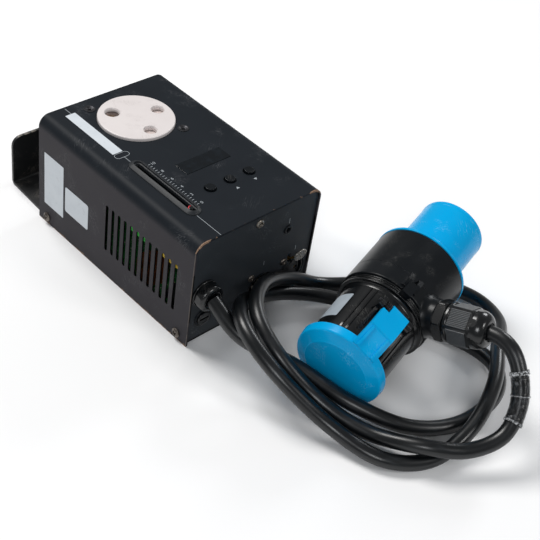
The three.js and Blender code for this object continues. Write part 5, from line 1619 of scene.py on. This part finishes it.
class OBJECT_OT_dimmer_tap_body(Builder):
    """Makes the through-tap's body and its outlet end"""

    bl_idname = "object.dimmer_tap_body"
    bl_label = "Tap body and outlet end"

    def build(self, context):
        ring = lathe(TAP_AXIS, [
            (29, -46), (32.05, -46, 0.8), (32.05, -33.2, 0.05), (31.85, -33.0, 0.05),
            (32.05, -32.8, 0.05), (32.05, 0, 0.5), (29, 0), (29, -46),
        ], 160)
        boss = lathe(TAP_ENTRY, [
            (0, 27), (15.2, 27), (15.0, 28.4), (13.3, 30.6, 0.9), (12.4, 33, 0.9), (12.2, 35),
            (12.2, 37.3, 0.7), (0, 37.3),
        ], 96)
        notch = around_tap(CATCH_TURN)
        catch = [
            slab(notch, [
                (-43.8, 30.2, 0), (-43.8, 33.0, 0.4), (-37.0, 33.4, 0.5), (-31.2, 31.9, 0.5),
                (-31.2, 30.2, 0),
            ], 0.5, z0, z1)
            for z0, z1 in ((-4.95, -2.05), (2.05, 4.95))
        ]
        catch.append(brick(notch, -43.8, -32.4, 30.2, 32.5, -2.2, 2.2))
        catch.append(loft(notch, [
            [(s, 31.0, z), (s, high, -4.85), (s, 30.2, -4.85), (s, 30.2, z)]
            for s, high, z in ((-43.8, 32.9, -7.0), (-32.2, 31.9, -5.4))
        ]))
        window = brick(notch, -50, -40.3, 30.6, 36, -3.2, 3.2)
        wedge = prism(notch @ axes((1000, 0, 0), (0, 0, 1000), (0, 1000, 0)),
                      [(-37.4, -0.4), (-37.0, 1.6), (-32.0, 1.6)], 30.6, 35)
        body = shaped(ring, joins=[boss, *catch],
                      cuts=[rod(TAP_AXIS, 0, 0, 31.4, -60, -46, 128),
                            rod(TAP_AXIS, 0, 0, 28.9, -45.9, -1, 96), window, wedge])
        on_tap("tap_shell", body, "black", replaces="tap_body", bevel=0.22, angle=34)

        shell = lathe(TAP_AXIS, [
            (0, -62), (24.3, -62), (24.3, -97, 0.3), (26.2, -97, 0.3), (27.1, -94, 0.8),
            (27.5, -53.2, 0.4), (28.4, -51.4, 0.6), (29.3, -51, 0.2), (31, -51, 0.35),
            (31, -49.9, 0.25), (30.3, -49.8, 0.1), (30.3, -48.9, 0.1), (31, -48.8, 0.25),
            (31, -48.1, 0.25), (30.2, -48.0, 0.1), (30.2, -47.3, 0.1), (31, -47.2, 0.25),
            (31, -46.3, 0.2), (28.6, -46.3), (28.6, -40), (0, -40),
        ], 160, steps=3)
        core = lathe(TAP_AXIS, [(0, -63), (18.6, -63), (18.6, -90, 0.8), (0, -90)], 96)
        holes = []
        for name, (y, z) in PIN_PLACES.items():
            radius = 3.7 if name == "earth" else 2.7
            holes.append(lathe(TAP_AXIS, [
                (0, -66), (radius, -66), (radius, -89.2), (radius + 0.9, -90.1), (0, -90.5),
            ], 48, (y, z)))
        core = shaped(core, cuts=holes)
        lugs = []
        for z0, z1 in ((-12.4, -9.2), (9.2, 12.4)):
            lug = slab(HINGE, [
                (-68.5, 23, 0), (-68.5, 33.2, 1.6), (-66.6, 35.6, 1.2), (-62.4, 35.6, 1.2),
                (-60.8, 33.8, 1.2), (-60.8, 23, 0),
            ], 1.0, z0, z1)
            lugs.append(shaped(lug, cuts=[rod(HINGE_LINE, 0, 0, 1.45, -15, 15, 32)]))
            lugs.append(slab(HINGE, [
                (-86.5, 23, 0), (-86.5, 25.4, 0.4), (-80, 27.4, 2), (-68.4, 29.6, 0),
                (-68.4, 23, 0),
            ], 1.0, z0 + 0.5, z1 - 0.5))
        ribs = [
            slab(around_tap(turn), [
                (-91, 26, 0), (-91, 27.4, 0.4), (-88, 27.9, 0.8), (-54, 28.1, 0.4), (-53, 26, 0),
            ], 0.4, -0.6, 0.6)
            for turn in (8, 16, 77, 85)
        ]
        on_tap(
            "tap_outlet_shell", together(shell, core, *lugs, *ribs), "gloss",
            replaces="tap_outlet", angle=36,
        )
        teeth = collar_teeth(TAP_AXIS, 60, 30.35, 0.9, 0.5, 0.5, -47.65)
        on_tap("tap_collar_teeth", teeth, "gloss")

        loops = []
        for s in (-83.0, -82.4, -78, -69, -62.6, -62.0):
            trim = 1.2 if s in (-83.0, -62.0) else 0
            turns = [math.radians(102 + trim + (33 - 2 * trim) * k / 16) for k in range(17)]
            slope = 27.5 - (s + 51) * (0.4 / -43)
            outer, inner = (
                [(-radius * math.cos(t), radius * math.sin(t), s) for t in turns]
                for radius in (slope + 0.11, slope - 0.05)
            )
            loops.append(outer + inner[::-1])
        on_tap("tap_label", loft(TAP_AXIS, loops), "grey_label")


class OBJECT_OT_dimmer_tap_plug(Builder):
    """Makes the through-tap's blue plug and its pins"""

    bl_idname = "object.dimmer_tap_plug"
    bl_label = "Plug"

    def build(self, context):
        shroud = lathe(TAP_AXIS, [
            (0, 0.3), (32.4, 0.3, 0.4), (32.4, 2.4, 0.7), (23.9, 2.4, 0.8), (23.2, 4.0, 0.6),
            (23.0, 42.6, 0.3), (23.2, 43.2, 0.3), (23.2, 46, 0.8), (20.8, 46, 0.7), (20.8, 8, 1),
            (0, 8),
        ], 160)
        key = prism(around_tap(180), [(9, 18.2), (9, 21.2), (45.6, 21.2), (45.6, 18.6)], -2, 2)
        on_tap("plug_housing", together(shroud, key), "blue", replaces="plug_shroud", angle=34)
        for name, (y, z) in PIN_PLACES.items():
            radius, end = (3.4, 41) if name == "earth" else (2.4, 39)
            pin = [(0, 5), (radius, 5), (radius, end, 1.6), (0, end)]
            on_tap(
                f"plug_{name}_pin", lathe(TAP_AXIS, pin, 48, (y, z)), "nickel",
                replaces=f"plug_pin_{name}",
            )


class OBJECT_OT_dimmer_tap_flap(Builder):
    """Makes the sprung flap with its hinge pin and spring"""

    bl_idname = "object.dimmer_tap_flap"
    bl_label = "Flap, hinge pin and spring"

    def build(self, context):
        disc = lathe(TAP_AXIS, [
            (0, -102), (21.9, -102, 0.5), (22.3, -101.7, 0.2), (29.7, -99.2, 1.1),
            (30.4, -93.4, 0.4), (28.9, -93.4, 0.3), (28.9, -97.6), (0, -97.6),
        ], 144)
        arm = slab(HINGE, [
            (-64.5, 31.8, 0), (-83, 31.8, 1), (-94, 28.9, 1), (-98.6, 28.0, 0), (-98.9, 30.0, 0),
            (-95.2, 31.9, 3), (-89.5, 33.5, 3), (-83.7, 34.7, 0.6), (-83.0, 35.4, 0.4),
            (-64.5, 35.4, 0),
        ], 0.5, -8.8, 8.8)
        knuckle = rod(HINGE_LINE, 0, 0, 3.4, -8.8, 8.8, 64)
        ribs = [
            slab(HINGE, [
                (-83.6, 33.8, 0), (-83.8, 35.3, 0.5), (-90, 34.5, 3), (-95.6, 32.9, 2),
                (-99.0, 30.9, 0.5), (-98.8, 29.0, 0),
            ], 0.5, z - 0.75, z + 0.75)
            for z in (-5.9, 5.9)
        ]
        cuts = [
            brick(HINGE, -69.4, -59.6, 25.6, 37, -10.3, -4.1),
            rod(TAP_AXIS, 0, 0, 28.85, -97.55, -83, 144),
            rod(HINGE_LINE, 0, 0, 1.5, -15, 15, 40),
        ]
        flap = shaped(disc, joins=[arm, knuckle, *ribs], cuts=cuts)
        on_tap("flap_lid", flap, "blue", body="flap", replaces="tap_flap", bevel=0.28, angle=32)
        pin = [(0, -13.6), (1.2, -13.6, 0.4), (1.2, 13.6, 0.4), (0, 13.6)]
        on_tap(
            "hinge_pin", lathe(HINGE_LINE, pin, 40), "dark_steel", replaces="flap_hinge_pin",
            slot="brass",
        )
        coil, curls, leg = 2.5, 2.5, 4.2
        turned = 2 * math.pi * coil * curls
        line = []
        steps = 150
        for k in range(steps + 1):
            along = (turned + leg * 2) * k / steps - leg
            held = min(max(along, 0.0), turned)
            turn = held / coil
            over = along - held
            rise = 5 + 1.35 * turn / (2 * math.pi)
            line.append(HINGE @ Vector((
                HINGE_S + coil * math.sin(turn) + over * math.cos(turn),
                HINGE_HIGH + coil * math.cos(turn) - over * math.sin(turn), -rise,
            )))
        wire = sweep(line, lambda i: 0.00044, 12)
        on_tap("spring_wire", wire, "dark_steel", replaces="flap_spring", slot="nickel", angle=50)


class OBJECT_OT_dimmer_tap_gland(Builder):
    """Makes the through-tap's ribbed cord gland"""

    bl_idname = "object.dimmer_tap_gland"
    bl_label = "Tap gland"

    def build(self, context):
        lock = lathe(TAP_ENTRY, [
            (8.9, 37.6), (12.7, 37.6, 0.2), (13.9, 38.7, 0.3), (13.9, 42.9, 0.3), (12.7, 44, 0.2),
            (8.9, 44), (8.9, 37.6),
        ], 96)
        hexagon = prism(TAP_ENTRY, polygon(6, 12.3, 30), 36, 46)
        on_tap(
            "gland_locknut", shaped(lock, within=[hexagon]), "gloss", replaces="tap_gland_locknut",
            bevel=0.3, angle=30,
        )
        nut = lathe(TAP_ENTRY, [
            (0, 37.6), (8.6, 37.6), (8.6, 44.3), (12.4, 44.3, 0.3), (13.2, 45.2, 0.3),
            (13.2, 61.6, 0.5), (12.35, 62.7, 0.5), (12.2, 66.4, 2.2), (10.3, 70.1, 1.8),
            (7.5, 71.6, 0.9), (5.9, 71.6, 0.4), (5.9, 68.8), (0, 68.8),
        ], 128, steps=5)
        hexagon = prism(TAP_ENTRY, polygon(6, 12.05, 30), 36, 80)
        collar = lathe(TAP_ENTRY, [
            (8.6, 44.3), (12.5, 44.3, 0.3), (13.15, 45.1, 0.4), (13.15, 46.8, 0.3),
            (12.7, 47.5, 0.3), (8.6, 47.5), (8.6, 44.3),
        ], 96)
        body = shaped(shaped(nut, within=[hexagon]), joins=[collar])
        on_tap("gland_cap", body, "gloss", replaces="tap_gland_nut", bevel=0.25, angle=26)
        ribs = grip_ribs(TAP_ENTRY, 6, 12.05, 11, 1.05, 0.85, 12.8, 54.4)
        # The ribs are paler than the cap: painted highlight on their crests
        on_tap("gland_cap_ribs", ribs, "rubbed", angle=60)
        seal = lathe(TAP_ENTRY, [
            (4.95, 68.9), (5.85, 68.9), (5.85, 71.0, 0.4), (4.95, 71.0, 0.3), (4.95, 68.9),
        ], 72)
        on_tap("gland_cap_seal", seal, "black")


# What shows through the slots, and the pieces whose solids are right as they are


class OBJECT_OT_dimmer_insides(Builder):
    """Gives the inner pieces their finishes"""

    bl_idname = "object.dimmer_insides"
    bl_label = "Boards and inner pieces"

    def build(self, context):
        for node, name in {
            "outlet_base": "white", "outlet_shutter": "white", "outlet_contact_earth": "brass",
            "outlet_contact_live": "brass", "outlet_contact_neutral": "brass",
            "fader_body": "black", "display_module": "black", "control_board": "board",
            "power_board": "board", "heatsink": "aluminium", "power_switch": "black",
            "choke": "copper", "yellow_capacitor": "yellow", "blue_capacitor": "blue_case",
            "terminal_block": "green_case", "fuse": "ceramic", "cord_gland_locknut": "gloss",
        }.items():
            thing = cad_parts[node]
            thing.data.materials.clear()
            thing.data.materials.append(finish(name))


OPERATORS = (
    OBJECT_OT_dimmer_stage,
    OBJECT_OT_dimmer_cord,
    OBJECT_OT_dimmer_cover,
    OBJECT_OT_dimmer_chassis,
    OBJECT_OT_dimmer_screws,
    OBJECT_OT_dimmer_outlet,
    OBJECT_OT_dimmer_controls,
    OBJECT_OT_dimmer_marks,
    OBJECT_OT_dimmer_sockets,
    OBJECT_OT_dimmer_tap_body,
    OBJECT_OT_dimmer_tap_plug,
    OBJECT_OT_dimmer_tap_flap,
    OBJECT_OT_dimmer_tap_gland,
    OBJECT_OT_dimmer_insides,
)


class VIEW3D_PT_dimmer_pack(bpy.types.Panel):
    """Lists the pieces of the dimmer pack"""

    bl_label = "Dimmer Pack"
    bl_space_type = "VIEW_3D"
    bl_region_type = "UI"
    bl_category = "Dimmer Pack"

    def draw(self, context):
        scene = context.scene
        for group in (scene.dimmer_cord, scene.dimmer_scale, scene.dimmer_stage):
            box = self.layout.box()
            for name in group.bl_rna.properties.keys():
                if name not in ("rna_type", "name"):
                    box.prop(group, name)
        for operator in OPERATORS:
            self.layout.operator(operator.bl_idname)


CLASSES = (
    DimmerPackCordSizes, DimmerPackScaleSizes, DimmerPackStage, *OPERATORS, VIEW3D_PT_dimmer_pack,
)


def register():
    for item in CLASSES:
        bpy.utils.register_class(item)
    bpy.types.Scene.dimmer_cord = PointerProperty(type=DimmerPackCordSizes)
    bpy.types.Scene.dimmer_scale = PointerProperty(type=DimmerPackScaleSizes)
    bpy.types.Scene.dimmer_stage = PointerProperty(type=DimmerPackStage)


def unregister():
    del bpy.types.Scene.dimmer_cord
    del bpy.types.Scene.dimmer_scale
    del bpy.types.Scene.dimmer_stage
    for item in reversed(CLASSES):
        bpy.utils.unregister_class(item)


def main():
    register()
    for operator in OPERATORS:
        getattr(bpy.ops.object, operator.bl_idname.split(".")[1])()
    declare_cord()


if __name__ == "__main__":
    main()
